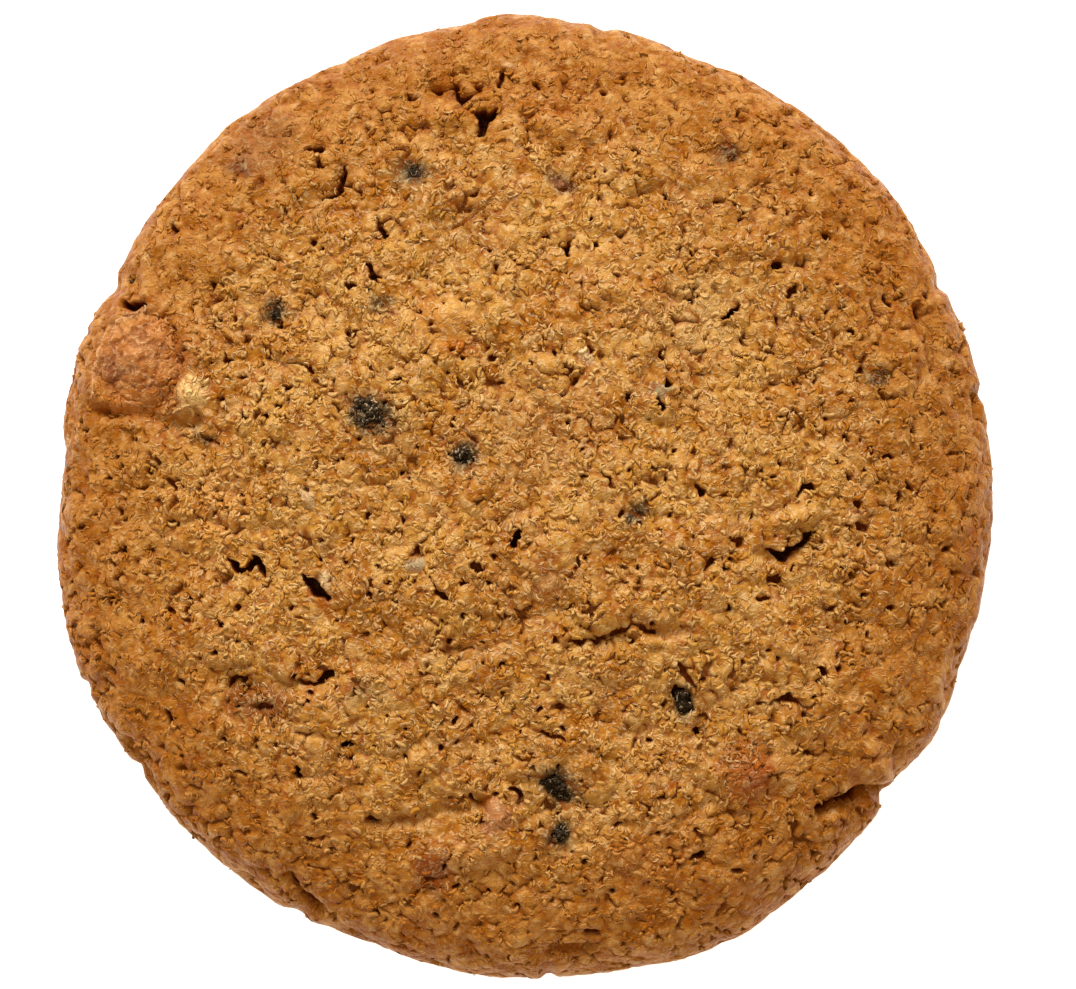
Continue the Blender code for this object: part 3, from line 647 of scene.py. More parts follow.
# Pores at the granules' corners: they open more in some patches than in others.
PORE_DEPTH, PORE_OPENING, PORE_EDGE = 0.6, 0.12, 0.1
PORE_SPREAD, PORE_RARITY = 0.22, 0.4
PORE_PATCH_ACROSS, PORE_PATCH_SHARE, SMALL_PATCH_ACROSS = 5.0, 0.5, 1.2
THIRD_CENTRE_COUNTS = 0.25

# %% Where the relief is calmer: at the foot, on the flank, between two radii at the rim
FADE_ABOVE_FLOOR = 2.5
TOP_FACING = 0.35
FLANK_CALM, FLANK_CALM_BROAD = 0.75, 0.45
NEAR_RIM, NEAR_RIM_CALM, NEAR_RIM_CALM_BROAD = (30.0, 46.0), 0.25, 0.45

# Raised forms that baked smooth: what share of the relief they keep, between which shares of the oval.
SMOOTH_FORMS, SMOOTH_KEEPS, SMOOTH_BETWEEN = ("smooth_bump", "smooth_piece"), 0.35, (1.05, 0.7)


def smooth_there(x, y):
    """1 in the middle of a smooth form, 0 away from it."""
    share = np.zeros(x.shape)
    for name in SMOOTH_FORMS:
        place = oval_distance(x, y, *LUMPS[name][:5])
        share = np.maximum(share, smooth_step(place, *SMOOTH_BETWEEN))
    return share


def towards_rim(points):
    """0 in the middle of the top, 1 at the rim."""
    return smooth_step(np.hypot(points[:, 0], points[:, 1]), *NEAR_RIM)


# %% The crumb's relief
def backs(cells, height, crease, level):
    """Cells as rounded backs, which rise above their mean level, with creases below it."""
    gap = np.clip((cells[:, 1] - cells[:, 0]) / crease, 0.0, 1.0)
    return height * (1.0 - (1.0 - gap) ** 2 - level)


def broad_relief(points):
    """The solid's own relief, so that the crumb lies on the same lumps and clumps."""
    bend = [noise_at(points, BEND_ACROSS, (i * 9.1, 3.7, i * 4.3)) for i in range(3)]
    bent = points + BEND * np.stack(bend, axis=1)
    clump = cells_at(bent, CLUMP_ACROSS, (8.3, 2.9, 5.5))
    return (
        SWELL_HEIGHT * noise_at(points, SWELL_ACROSS, (4.1, 0.3, 8.8))
        + LUMP_HEIGHT * noise_at(bent, LUMP_ACROSS, (1.7, 6.2, 2.4))
        + backs(clump, CLUMP_HEIGHT, CLUMP_CREASE, CLUMP_LEVEL)
        + COARSE_HEIGHT * noise_at(bent, COARSE_ACROSS, (3.3, 1.1, 7.9))
    )


def curled_round(points):
    """The places, swirled so that a pattern on them curls."""
    return points + CURL * swirl_at(points, CURL_ACROSS, (2.0, 7.0, 4.0))


def crumb_relief(points):
    """Height of the granules, grains and flakes, and the depth of the pores between them."""
    curled = curled_round(points)
    granule = cells_at(curled, GRANULE_ACROSS, (1.3, 5.9, 3.1))
    grain = cells_at(curled, GRAIN_ACROSS, (6.1, 0.9, 7.7))
    height = (
        backs(granule, GRANULE_HEIGHT, GRANULE_CREASE, GRANULE_LEVEL)
        + backs(grain, GRAIN_HEIGHT, GRAIN_CREASE, GRAIN_LEVEL)
        + FLAKE_HEIGHT * noise_at(curled, FLAKE_ACROSS, (9.0, 2.0, 5.0))
    )
    patch = noise_at(points, PORE_PATCH_ACROSS, (3.0, 3.0, 1.0)) * PORE_PATCH_SHARE
    patch = patch + noise_at(points, SMALL_PATCH_ACROSS, (7.0, 3.0, 2.0))
    gap = (granule[:, 1] - granule[:, 0]) + THIRD_CENTRE_COUNTS * (granule[:, 2] - granule[:, 0])
    pore = smooth_step(PORE_OPENING + PORE_SPREAD * (patch - PORE_RARITY) - gap, 0.0, PORE_EDGE)
    return height, pore


# %% Building the dough
DOUGH_TRIANGLES = 198000
BALL_SUBDIVISIONS = 9
RAGGED, RAGGED_ACROSS = 0.36, 0.75    # the edges of holes are ragged


def make_dough():
    """A ball laid on the profile, raised and carved; its points keep what the materials read."""
    bpy.ops.object.select_all(action="DESELECT")
    bpy.ops.mesh.primitive_ico_sphere_add(subdivisions=BALL_SUBDIVISIONS, radius=1.0, calc_uvs=False)
    dough = bpy.context.object
    dough.name = "baked_dough"
    points, outward, along = lay_on_profile(points_of(dough) * MM)      # the ball's radius is 1
    on_top = np.clip(outward[:, 2] / TOP_FACING, 0.0, 1.0)
    off_floor = np.clip(points[:, 2] / FADE_ABOVE_FLOOR, 0.0, 1.0)
    wander = [WANDER * noise_at(points, WANDER_ACROSS, (5.0, 2.0 + i, 1.0)) for i in (0, 1)]
    seen_x, seen_y = points[:, 0] + wander[0], points[:, 1] + wander[1]
    named = raised(seen_x, seen_y) * on_top
    ragged = RAGGED * swirl_at(points, RAGGED_ACROSS, (1.0, 4.0, 2.0))
    cut = holed(points[:, 0] + ragged[:, 0], points[:, 1] + ragged[:, 1]) * on_top
    height, pore = crumb_relief(points)
    cut = np.maximum(cut, PORE_DEPTH * pore * off_floor)
    flank = smooth_step(on_top, 1.0, 0.0)
    rim = towards_rim(points)
    rough = 1.0 - (1.0 - SMOOTH_KEEPS) * smooth_there(seen_x, seen_y)
    height *= rough * (1.0 - NEAR_RIM_CALM * rim) * (1.0 - FLANK_CALM * flank)
    broad = broad_relief(points) * rough
    broad *= 1.0 - NEAR_RIM_CALM_BROAD * rim
    broad *= 1.0 - FLANK_CALM_BROAD * flank
    fold = FOLD_HEIGHT * folded(seen_x, seen_y)
    moved = (broad + height) * off_floor + named + fold - cut
    points = points + outward * moved[:, None]
    points[:, 2] = np.maximum(points[:, 2], 0.0)
    move_points(dough, points)
    store(dough, "along", along)
    store(dough, "depth", cut)
    store(dough, "crumb", height)
    return dough


dough = make_dough()
apply_modifier(dough, "DECIMATE", ratio=DOUGH_TRIANGLES / len(dough.data.polygons))
dough.data.shade_smooth()
print("dough:", len(dough.data.polygons), "triangles")

# %% [markdown]
# ## A map for baking
# A map lays the materials flat, so that they can be baked into pictures. The dough's map is
# the skin of the biscuit laid flat as two discs: the top and the flank, out to
# the floor, are one disc, and the underside is a smaller one in the corner.

# %% The dough's map
MAP_NAME = "OFBake"
TOP_DISC, FOOT_DISC = (0.41, 0.41, 0.40), (0.825, 0.825, 0.165)   # middle and radius
BEYOND_DISC = 1.02            # a face that crosses the discs' common edge reaches no farther


def lay_map(piece, places):
    """Give a piece its map, one place for each corner of each face."""
    layer = piece.data.uv_layers.new(name=MAP_NAME)
    layer.data.foreach_set("uv", places.astype(np.float32).ravel())


def corner_points(piece):
    """The number of the point at each corner of each face."""
    numbers = np.empty(len(piece.data.loops), np.int32)
    piece.data.loops.foreach_get("vertex_index", numbers)
    return numbers


def map_dough():
    """Lay each face on the disc of the side that it belongs to."""
    numbers = corner_points(dough)
    points, along = points_of(dough)[numbers], stored(dough, "along")[numbers]
    whole = along.max()
    at_floor = whole - (MEAN_RADIUS - FOOT_INSET)
    below = np.repeat(along.reshape(-1, 3).mean(axis=1) > at_floor, 3)
    from_middle = np.where(below, (whole - along) / (whole - at_floor), along / at_floor)
    from_middle = np.minimum(from_middle, BEYOND_DISC)
    turn = np.arctan2(points[:, 1] - OUTLINE_CENTRE[1], points[:, 0] - OUTLINE_CENTRE[0])
    middle_u, middle_v, radius = np.where(below[:, None], FOOT_DISC, TOP_DISC).T
    lay_map(dough, np.stack([middle_u + radius * from_middle * np.cos(turn),
                             middle_v + radius * from_middle * np.sin(turn)], axis=1))


map_dough()
print("map:", MAP_NAME, "with", len(dough.data.loops), "corners")

# %% [markdown]
# ## Stains and painted highlights
# Juice colours the crumb round each piece of fruit, a buried piece shows as a
# reddish shade, and some lumps baked paler or more orange than the rest; one oval
# is a painted highlight on the top of the smooth bump. Each such place is an oval
# with a colour as the eye sees it. The pale line of the fold round the rim fruit
# is partly painted sheen. The colour is kept with the mesh's points, where the
# materials read it, so that it is baked into the crumb and the flakes alike.

# %% Stains and painted highlights: x, y, half length, half width, turn (degrees), colour (0 to 255), share
STAINS_AND_HIGHLIGHTS = {
    "over_rim_fruit": (-37.0, 13.2, 7.4, 7.4, 0, (174, 98, 44), 0.8),
    "rim_fruit_mauve": (-40.2, 12.6, 2.6, 2.1, 10, (116, 54, 30), 0.8),
    "rim_fruit_brown": (-39.6, 9.4, 2.2, 1.6, 20, (184, 98, 30), 0.6),
    "smooth_bump": (-7.3, 17.5, 4.4, 3.2, 10, (204, 134, 54), 0.8),
    # a painted highlight on the top of the smooth bump
    "painted_highlight_on_bump": (-6.0, 18.3, 3.0, 1.8, 10, (216, 164, 88), 0.8),
    "smooth_bump_foot": (-6.2, 14.6, 3.0, 1.2, 5, (184, 98, 4), 0.85),
    "smooth_piece": (-2.6, -31.7, 1.5, 1.8, 0, (188, 126, 80), 0.9),
    "red_brown_below": (-8.8, -37.0, 2.8, 3.4, 20, (116, 40, 0), 0.85),
    "buried_fruit": (22.2, -27.4, 3.8, 4.8, 0, (156, 72, 16), 0.75),
    "buried_fruit_pink": (23.2, -27.2, 1.8, 1.4, 0, (168, 82, 24), 0.7),
    "striped_skin": (3.9, 30.9, 2.4, 1.4, -26, (82, 24, 8), 0.95),
    "brown_centre": (2.7, -8.5, 2.4, 3.2, 10, (150, 92, 50), 0.55),
    "pink_upper_left": (-25.8, 35.0, 5.4, 4.2, 35, (154, 98, 50), 0.7),
    "mauve_upper_left": (-27.8, 32.5, 1.9, 1.6, 0, (90, 36, 8), 0.95),
    "red_hollow_left": (-26.1, -20.6, 5.2, 2.8, -5, (112, 46, 8), 0.75),
    "grey_green": (-15.3, -19.4, 3.2, 2.0, -15, (144, 118, 80), 0.55),
    "grey_left": (-31.6, 5.8, 1.7, 1.3, 0, (96, 68, 36), 0.8),
    "grey_north": (-11.0, 31.9, 3.0, 2.4, 0, (94, 66, 34), 0.82),
    "grey_north_west": (-14.0, 18.9, 1.6, 1.4, 0, (64, 34, 10), 0.88),
    "grey_east": (34.5, 11.8, 1.9, 1.6, 0, (54, 12, 0), 0.95),
    "pale_upper_right": (16.7, 17.5, 7.0, 5.6, 0, (218, 172, 102), 0.55),
    "pale_north": (-6.8, 25.5, 6.6, 4.6, 0, (164, 110, 34), 0.5),
    "pale_centre": (2.0, 6.0, 9.0, 7.0, 0, (206, 152, 88), 0.35),
    "yellow_granule": (-32.6, 10.1, 1.9, 1.8, 0, (250, 208, 134), 0.95),
    "pale_granule_west": (-21.1, -0.2, 1.0, 1.0, 0, (216, 178, 128), 0.9),
    "pale_granule_pit": (-19.4, -8.2, 1.0, 0.9, 0, (226, 190, 140), 0.95),
    "white_flake_split": (-10.6, -6.9, 0.9, 1.1, 0, (174, 158, 126), 0.88),
    "white_flake_north": (6.2, 13.5, 0.9, 0.7, 0, (246, 214, 164), 0.95),
    "white_flake_east": (13.7, 10.6, 0.9, 0.8, 0, (170, 158, 118), 0.9),
    "orange_left": (-30.0, -2.0, 6.0, 4.0, 30, (226, 156, 72), 0.5),
    "orange_upper": (3.0, 39.0, 8.0, 4.0, 0, (186, 110, 40), 0.4),
    "mauve_right": (20.0, 34.0, 2.1, 1.6, 0, (60, 4, 0), 0.95),
    "orange_below_right": (12.0, -36.0, 7.0, 5.0, 10, (184, 108, 40), 0.4),
}
HALO, HALO_SHARE, HALO_REACH = (134, 106, 74), 0.6, 2.1       # round the dark fruit
JUICE, JUICE_SHARE, JUICE_REACH = (46, 32, 22), 0.95, 1.6
WITHOUT_JUICE = ("cranberry_skin", "cranberry_far_west")
STAIN_EDGE, CRISP_EDGE = 0.3, 0.75     # a stain fades between this share of its oval and the whole
CRISP = ("yellow_granule", "pale_granule_west", "pale_granule_pit", "white_flake_split",
         "white_flake_north", "white_flake_east", "smooth_piece")
FOLD_PALE_AND_SHEEN, FOLD_SHARE = (226, 180, 134), 0.75
STAIN_WANDER, STAIN_WANDER_ACROSS = 0.9, 1.6      # the stains' edges are ragged


def seen(red, green, blue):
    """A colour as it is seen on a screen (0 to 255), as the light that a shader needs."""
    values = [v / 255.0 for v in (red, green, blue)]
    return [v / 12.92 if v <= 0.04045 else ((v + 0.055) / 1.055) ** 2.4 for v in values]


def stain_and_highlight_at(points):
    """Colour and share at each place of the stains, with the painted highlight and sheen among them."""
    ragged = STAIN_WANDER * swirl_at(points, STAIN_WANDER_ACROSS, (3.0, 8.0, 1.0))
    x, y = points[:, 0] + ragged[:, 0], points[:, 1] + ragged[:, 1]
    colour, share = np.zeros((len(points), 3)), np.zeros(len(points))
    ovals = [(*row, 1.0, CRISP_EDGE if name in CRISP else STAIN_EDGE) for name, row in STAINS_AND_HIGHLIGHTS.items()]
    dark = [row for node, row in FRUIT_BITS.items() if node not in WITHOUT_JUICE]
    ovals += [(*row, HALO, HALO_SHARE, HALO_REACH, STAIN_EDGE) for row in dark]
    ovals += [(*row, JUICE, JUICE_SHARE, JUICE_REACH, STAIN_EDGE) for row in dark]
    for *oval, tint, strength, reach, edge in ovals:
        place = oval_distance(x, y, *oval)
        added = strength * smooth_step(place, reach, reach * edge)
        both = share * (1.0 - added) + added
        mix = np.divide(added, both, out=np.zeros_like(both), where=both > 0.0)[:, None]
        colour, share = colour * (1.0 - mix) + np.array(seen(*tint)) * mix, both
    # the fold's pale line: partly the skin's own pale edge, partly painted sheen
    fold = FOLD_SHARE * folded(points[:, 0], points[:, 1])
    colour = colour * (1.0 - fold[:, None]) + np.array(seen(*FOLD_PALE_AND_SHEEN)) * fold[:, None]
    return np.concatenate([colour, np.maximum(share, fold)[:, None]], axis=1)


store(dough, "stain_and_highlight", stain_and_highlight_at(points_of(dough)))
print("stains:", len(STAINS_AND_HIGHLIGHTS))

# %% [markdown]
# ## Building materials in code
# A material is a tree of nodes. These few helpers keep the trees readable: one
# adds any node, with sockets linked and numbers set by their names, some are the
# sums that are needed everywhere, and the last one is the end that all the
# materials share: colour, roughness, a warm shine and a bump.

# %% Node helpers
def set_input(tree, socket, value):
    """Link a socket to another one, or set it to a value."""
    if isinstance(value, bpy.types.NodeSocket):
        tree.links.new(value, socket)
    else:
        socket.default_value = value


def add_node(tree, kind, inputs, **settings):
    """A node with its settings; each input is linked to a socket or set to a value."""
    new = tree.nodes.new(kind)
    for setting, value in settings.items():
        setattr(new, setting, value)
    for key, value in inputs.items():
        set_input(tree, new.inputs[key], value)
    return new


def maths(tree, operation, a, b=0.0, c=0.0):
    return add_node(tree, "ShaderNodeMath", {0: a, 1: b, 2: c}, operation=operation).outputs[0]


def plus(tree, a, b):
    return maths(tree, "ADD", a, b)


def times(tree, a, b):
    return maths(tree, "MULTIPLY", a, b)


def vector_maths(tree, operation, inputs):
    return add_node(tree, "ShaderNodeVectorMath", inputs, operation=operation).outputs[0]


def between(tree, value, low, high, to_low=0.0, to_high=1.0):
    """to_low below low, to_high above high, and a soft slope between."""
    inputs = {"Value": value, "From Min": low, "From Max": high, "To Min": to_low, "To Max": to_high}
    return add_node(tree, "ShaderNodeMapRange", inputs, interpolation_type="SMOOTHSTEP").outputs[0]


def mixed(tree, share, a, b, blend="MIX"):
    """Two colours mixed by a share."""
    new = add_node(tree, "ShaderNodeMix", {0: share, 6: a, 7: b}, data_type="RGBA", blend_type=blend)
    return new.outputs[2]


def tinted(tree, body, colour, value, low, high, most=1.0):
    """The body colour, which takes on another one, at the most, as a value goes from low to high."""
    return mixed(tree, between(tree, value, low, high, 0.0, most), body, colour)


def grain_noise(tree, place, per_mm, detail=2.0, roughness=0.5):
    inputs = {"Vector": place, "Scale": per_mm, "Detail": detail, "Roughness": roughness}
    return add_node(tree, "ShaderNodeTexNoise", inputs).outputs


def read_stored(tree, name):
    return add_node(tree, "ShaderNodeAttribute", {}, attribute_name=name).outputs


def place_in_mm(tree):
    """Object coordinates, turned from metres into mm so that sizes read as sizes."""
    place = tree.nodes.new("ShaderNodeTexCoord").outputs["Object"]
    return vector_maths(tree, "SCALE", {0: place, "Scale": 1.0 / MM})


def tone(red, green, blue):
    return (*seen(red, green, blue), 1.0)


# %% Groups and materials
WARM_SHINE = tone(255, 222, 162)


def new_group(name, given, results):
    """An empty node group with named inputs and outputs."""
    tree = bpy.data.node_groups.new(name, "ShaderNodeTree")
    for label, kind in given.items():
        tree.interface.new_socket(label, in_out="INPUT", socket_type=kind)
    for label, kind in results.items():
        tree.interface.new_socket(label, in_out="OUTPUT", socket_type=kind)
    return tree, tree.nodes.new("NodeGroupInput").outputs, tree.nodes.new("NodeGroupOutput").inputs


def use_group(tree, group, inputs):
    new = tree.nodes.new("ShaderNodeGroup")
    new.node_tree = group
    for key, value in inputs.items():
        set_input(tree, new.inputs[key], value)
    return new.outputs


def new_material(name):
    material = bpy.data.materials.new(name)
    material.use_nodes = True
    return material, material.node_tree, material.node_tree.nodes["Principled BSDF"]


def finish_surface(tree, shader, colour, roughness, shine, bumps=None, bump_height=0.0):
    """Colour, roughness, how much it shines, and bumps as high as so many mm."""
    set_input(tree, shader.inputs["Base Color"], colour)
    set_input(tree, shader.inputs["Roughness"], roughness)
    shader.inputs["Specular IOR Level"].default_value = shine
    shader.inputs["Specular Tint"].default_value = WARM_SHINE
    if bumps is not None:
        inputs = {"Height": bumps, "Distance": bump_height * MM, "Strength": 1.0}
        set_input(tree, shader.inputs["Normal"], add_node(tree, "ShaderNodeBump", inputs).outputs[0])


# %% [markdown]
# ## The grain of the crumb
# Closer than a millimetre the crumb is a tangle of curled flakes. Each shows as a
# thin pale line that bends round on itself, partly the flake's own paler edge and
# partly a painted highlight where that edge catches the light. Height lines on a
# map of soft hills bend in just that way, so the group makes soft hills with a
# noise whose places are themselves swirled, and draws their height lines.

# %% The grain as a node group
SWIRLS_PER_MM, HILLS_PER_MM, BREAKS_PER_MM = 0.8, 0.95, 1.9
SPECKS_PER_MM, FINE_PER_MM = 2.1, 3.6
LINE_HEIGHT, FINE_HEIGHT, SPECK_DEPTH = 0.45, 0.5, 0.5


def make_grain_group():
    """The height of the grain, the lines of its curled flake edges, which the crumb paints as pale edges
    that are partly painted highlight, and a random number for each speck.
    """
    given = {"Place": "NodeSocketVector", "Swirl": "NodeSocketFloat", "Lines": "NodeSocketFloat"}
    results = {"Height": "NodeSocketFloat", "Edge": "NodeSocketFloat", "Patch": "NodeSocketFloat"}
    tree, given, results = new_group("crumb_grain", given, results)
    place = given["Place"]
    swirl = grain_noise(tree, place, SWIRLS_PER_MM, detail=1.0)["Color"]
    swirl = vector_maths(tree, "SUBTRACT", {0: swirl, 1: (0.5, 0.5, 0.5)})
    swirl = vector_maths(tree, "SCALE", {0: swirl, "Scale": given["Swirl"]})
    swirled = vector_maths(tree, "ADD", {0: place, 1: swirl})

    hills = grain_noise(tree, swirled, HILLS_PER_MM, detail=1.6, roughness=0.55)["Fac"]
    wave = maths(tree, "COSINE", times(tree, times(tree, hills, given["Lines"]), 2 * math.pi))
    wave = maths(tree, "MULTIPLY_ADD", wave, 0.5, 0.5)
    crest = maths(tree, "POWER", wave, 2.0)
    breaks = grain_noise(tree, place, BREAKS_PER_MM, detail=1.0)["Fac"]
    edge = times(tree, crest, between(tree, breaks, 0.4, 0.6))

    speck = add_node(tree, "ShaderNodeTexVoronoi", {"Vector": swirled, "Scale": SPECKS_PER_MM}).outputs
    fine = grain_noise(tree, swirled, FINE_PER_MM, detail=1.5, roughness=0.6)["Fac"]
    height = plus(tree, times(tree, edge, LINE_HEIGHT), times(tree, fine, FINE_HEIGHT))
    height = maths(tree, "SUBTRACT", height, times(tree, speck["Distance"], SPECK_DEPTH))

    set_input(tree, results["Height"], height)
    set_input(tree, results["Edge"], edge)
    set_input(tree, results["Patch"], speck["Color"])
    return tree


CRUMB_GRAIN = make_grain_group()
print("group:", CRUMB_GRAIN.name, "with", len(CRUMB_GRAIN.nodes), "nodes")

# %% [markdown]
# ## The colour of the bake
# All crumb browns by the same rule: patches of paler and deeper honey brown, a
# deeper and more orange shade towards the rim, where the biscuit is thin, and the
# brown of the hot sheet below. The group gives that colour for any place, with
# the stains and painted highlights laid over it, and the crumb, the flakes and the fruit's skin use it.

# %% The bake as a node group
PATCHES_PER_MM, MOTTLE_PER_MM = 0.16, 0.42
BODY_TONES = tone(182, 115, 26), tone(202, 146, 60)
TOAST_TONES, TOAST_SHARE = (tone(154, 85, 6), tone(180, 113, 36)), 0.85
TOAST_BETWEEN, TOAST_WAVES = (32.0, 52.0), 12.0     # mm from the middle, and how far that edge wanders
PALE_MOTTLE, DEEP_MOTTLE = tone(226, 180, 116), tone(158, 90, 18)
SHEET_TONES, SHEET_BETWEEN = (tone(150, 84, 24), tone(172, 106, 42)), (2.4, 0.2)    # mm above the sheet


def make_bake_group():
    """The colour of the bake with its stains and painted highlights, and how far out towards the rim a
    place is.
    """
    given = {"Place": "NodeSocketVector", "Stain and highlight": "NodeSocketColor", "Stain and highlight share": "NodeSocketFloat"}
    results = {"Color": "NodeSocketColor", "Rim": "NodeSocketFloat"}
    tree, given, results = new_group("baked_colour", given, results)
    place = given["Place"]
    patches = grain_noise(tree, place, PATCHES_PER_MM, detail=3.0, roughness=0.55)["Fac"]
    mottle = grain_noise(tree, place, MOTTLE_PER_MM, roughness=0.6)["Fac"]
    body = mixed(tree, between(tree, patches, 0.35, 0.65), *BODY_TONES)

    x, y, z = add_node(tree, "ShaderNodeSeparateXYZ", {0: place}).outputs
    radius = maths(tree, "SQRT", plus(tree, maths(tree, "POWER", x, 2.0), maths(tree, "POWER", y, 2.0)))
    rim = between(tree, plus(tree, radius, times(tree, patches, TOAST_WAVES)), *TOAST_BETWEEN)
    toast = mixed(tree, between(tree, mottle, 0.38, 0.62), *TOAST_TONES)
    body = mixed(tree, times(tree, rim, TOAST_SHARE), body, toast)

    pale = times(tree, between(tree, mottle, 0.42, 0.64), between(tree, rim, 0.0, 1.0, 0.3, 0.12))
    body = mixed(tree, pale, body, PALE_MOTTLE)
    body = tinted(tree, body, DEEP_MOTTLE, mottle, 0.48, 0.32, most=0.24)
    body = mixed(tree, given["Stain and highlight share"], body, given["Stain and highlight"])
    sheet_brown = mixed(tree, between(tree, patches, 0.4, 0.6), *SHEET_TONES)
    body = mixed(tree, between(tree, z, *SHEET_BETWEEN), body, sheet_brown)
    set_input(tree, results["Color"], body)
    set_input(tree, results["Rim"], rim)
    return tree


BAKED_COLOUR = make_bake_group()
print("group:", BAKED_COLOUR.name, "with", len(BAKED_COLOUR.nodes), "nodes")


def baked_colour(tree, place):
    """The colour of the bake with its stains and painted highlights, and 0 in the middle to 1 at the rim.
    """
    stain_and_highlight = read_stored(tree, "stain_and_highlight")
    inputs = {"Place": place, "Stain and highlight": stain_and_highlight["Color"], "Stain and highlight share": stain_and_highlight["Alpha"]}
    baked = use_group(tree, BAKED_COLOUR, inputs)
    return baked["Color"], baked["Rim"]


# %% The baked crumb
SPECK_BROWN, CREASE_BROWN_AND_SHADE = tone(160, 90, 18), tone(145, 64, 2)
CRUMB_PALE, CURL_PALE_AND_HIGHLIGHT = tone(227, 187, 130), tone(238, 206, 158)
PIT_BROWN_AND_SHADE, PIT_DARK_AND_SHADE = tone(106, 42, 4), tone(72, 28, 4)


def make_crumb_material():
    """The bake, browner in the creases and dark in the holes (partly painted shade), paler on the crests,
    and with pale curls that are partly painted highlight.
    """
    material, tree, shader = new_material("baked_crumb")
    place = place_in_mm(tree)
    grain = use_group(tree, CRUMB_GRAIN, {"Place": place, "Swirl": 0.9, "Lines": 5.0})
    body, rim = baked_colour(tree, place)
    speckled = between(tree, grain["Patch"], 0.0, 1.0, 0.0, 0.3)
    body = mixed(tree, speckled, body, SPECK_BROWN, "MULTIPLY")
    crumb = read_stored(tree, "crumb")["Fac"]
    # browner where the crumb lies low: partly the crumb's own deeper bake, partly painted shade in the
    # creases
    body = tinted(tree, body, CREASE_BROWN_AND_SHADE, crumb, 0.0, -0.14, most=0.75)
    body = tinted(tree, body, CRUMB_PALE, crumb, 0.0, 0.1, most=0.5)
    # pale curled lines: partly the flakes' paler edges, partly painted highlight on their lit edges
    edge = times(tree, grain["Edge"], between(tree, rim, 0.0, 1.0, 0.42, 0.12))
    body = mixed(tree, edge, body, CURL_PALE_AND_HIGHLIGHT)
    depth = read_stored(tree, "depth")["Fac"]
    # darker the deeper a hole goes: partly the holes' own brown, partly painted shade
    body = tinted(tree, body, PIT_BROWN_AND_SHADE, depth, 0.3, 0.8)
    body = tinted(tree, body, PIT_DARK_AND_SHADE, depth, 0.8, 1.5)
    finish_surface(tree, shader, body, roughness=0.38, shine=0.24, bumps=grain["Height"], bump_height=0.15)
    return material


dough.data.materials.append(make_crumb_material())
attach(dough, "root")
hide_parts("cookie_dough")

# %% [markdown]
# ## The dark fruit
# The small bits are dried fruit that burst and blackened: hardly a whole berry
# anywhere, only wrinkled, nearly black scraps with a grey bloom, sunk in the crumb
# and ragged at the edge. Each starts as a copy of its solid. Its loose triangles
# are merged, rounded by subdivision, remeshed to an even grain and wrinkled.

# %% Copies of the fruit's solids
MERGE_WITHIN = 0.001          # mm


def fruit_copy(node, name, grain_size):
    """A merged, rounded and evenly meshed copy of a solid; grain_size in mm."""
    piece = bpy.data.objects.new(name, bpy.data.objects[node].data.copy())
    bpy.context.scene.collection.objects.link(piece)
    only(piece)
    bpy.ops.object.mode_set(mode="EDIT")
    bpy.ops.mesh.select_all(action="SELECT")
    bpy.ops.mesh.remove_doubles(threshold=MERGE_WITHIN * MM)
    bpy.ops.object.mode_set(mode="OBJECT")
    apply_modifier(piece, "SUBSURF", levels=1, render_levels=1)
    apply_modifier(piece, "REMESH", mode="VOXEL", voxel_size=grain_size * MM)
    piece.data.materials.clear()
    piece.data.shade_smooth()
    return piece


# %% Wrinkled dark scraps
# Relief: height, width across, and the noise's shift.
SCRAP_RELIEF = [(0.7, 1.7, (7.0, 3.0, 1.0)), (0.45, 0.8, (2.0, 4.0, 6.0)), (0.16, 0.4, (5.0, 1.0, 3.0))]
SCRAP_GRAIN = 0.1

# How much each scrap has grown or shrunk from its solid, so that it shows as much as in the photo.
GROWN = {
    "cranberry_west": -0.1, "cranberry_centre": 0.1, "cranberry_south": -0.1,
    "cranberry_south_small": -0.4, "cranberry_north": -0.05, "cranberry_north_west": -0.35,
    "cranberry_south_east": -0.25, "cranberry_east": -0.2, "cranberry_far_west": -0.3,
    "cranberry_skin": -0.3,
}

# Where crumb lies over a scrap and hides it: x, y, reach, how deep it is sunk there.
COVERED = [(-13.0, 9.9, 2.0, 1.4), (-11.5, 32.8, 1.2, 1.2), (17.0, -21.3, 1.5, 1.4)]


def make_dark_fruit(node):
    """A wrinkled scrap in place of one solid, sunk where crumb lies over it."""
    piece = fruit_copy(node, node + "_dried", SCRAP_GRAIN)
    points, outward = points_of(piece), normals_of(piece)
    relief = sum(height * noise_at(points, across, shift) for height, across, shift in SCRAP_RELIEF)
    points = points + outward * (relief + GROWN[node])[:, None]
    for spot_x, spot_y, reach, depth in COVERED:
        place = np.hypot(points[:, 0] - spot_x, points[:, 1] - spot_y)
        points[:, 2] -= depth * smooth_fall(place, reach)
    move_points(piece, points)
    store(piece, "outer", oval_distance(points[:, 0], points[:, 1], *FRUIT_BITS[node]))
    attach(piece, "root")
    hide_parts(node)
    return piece


# %% The dark fruit's finish
DARK_TONES = tone(20, 13, 8), tone(42, 29, 20), tone(140, 118, 94)
RED_TONES = tone(104, 56, 32), tone(142, 86, 52), tone(200, 150, 108)
CRUMB_DUST = tone(112, 80, 52)          # towards its edge a scrap is dusted with crumb
SCRAP_MOTTLE_PER_MM = 1.4


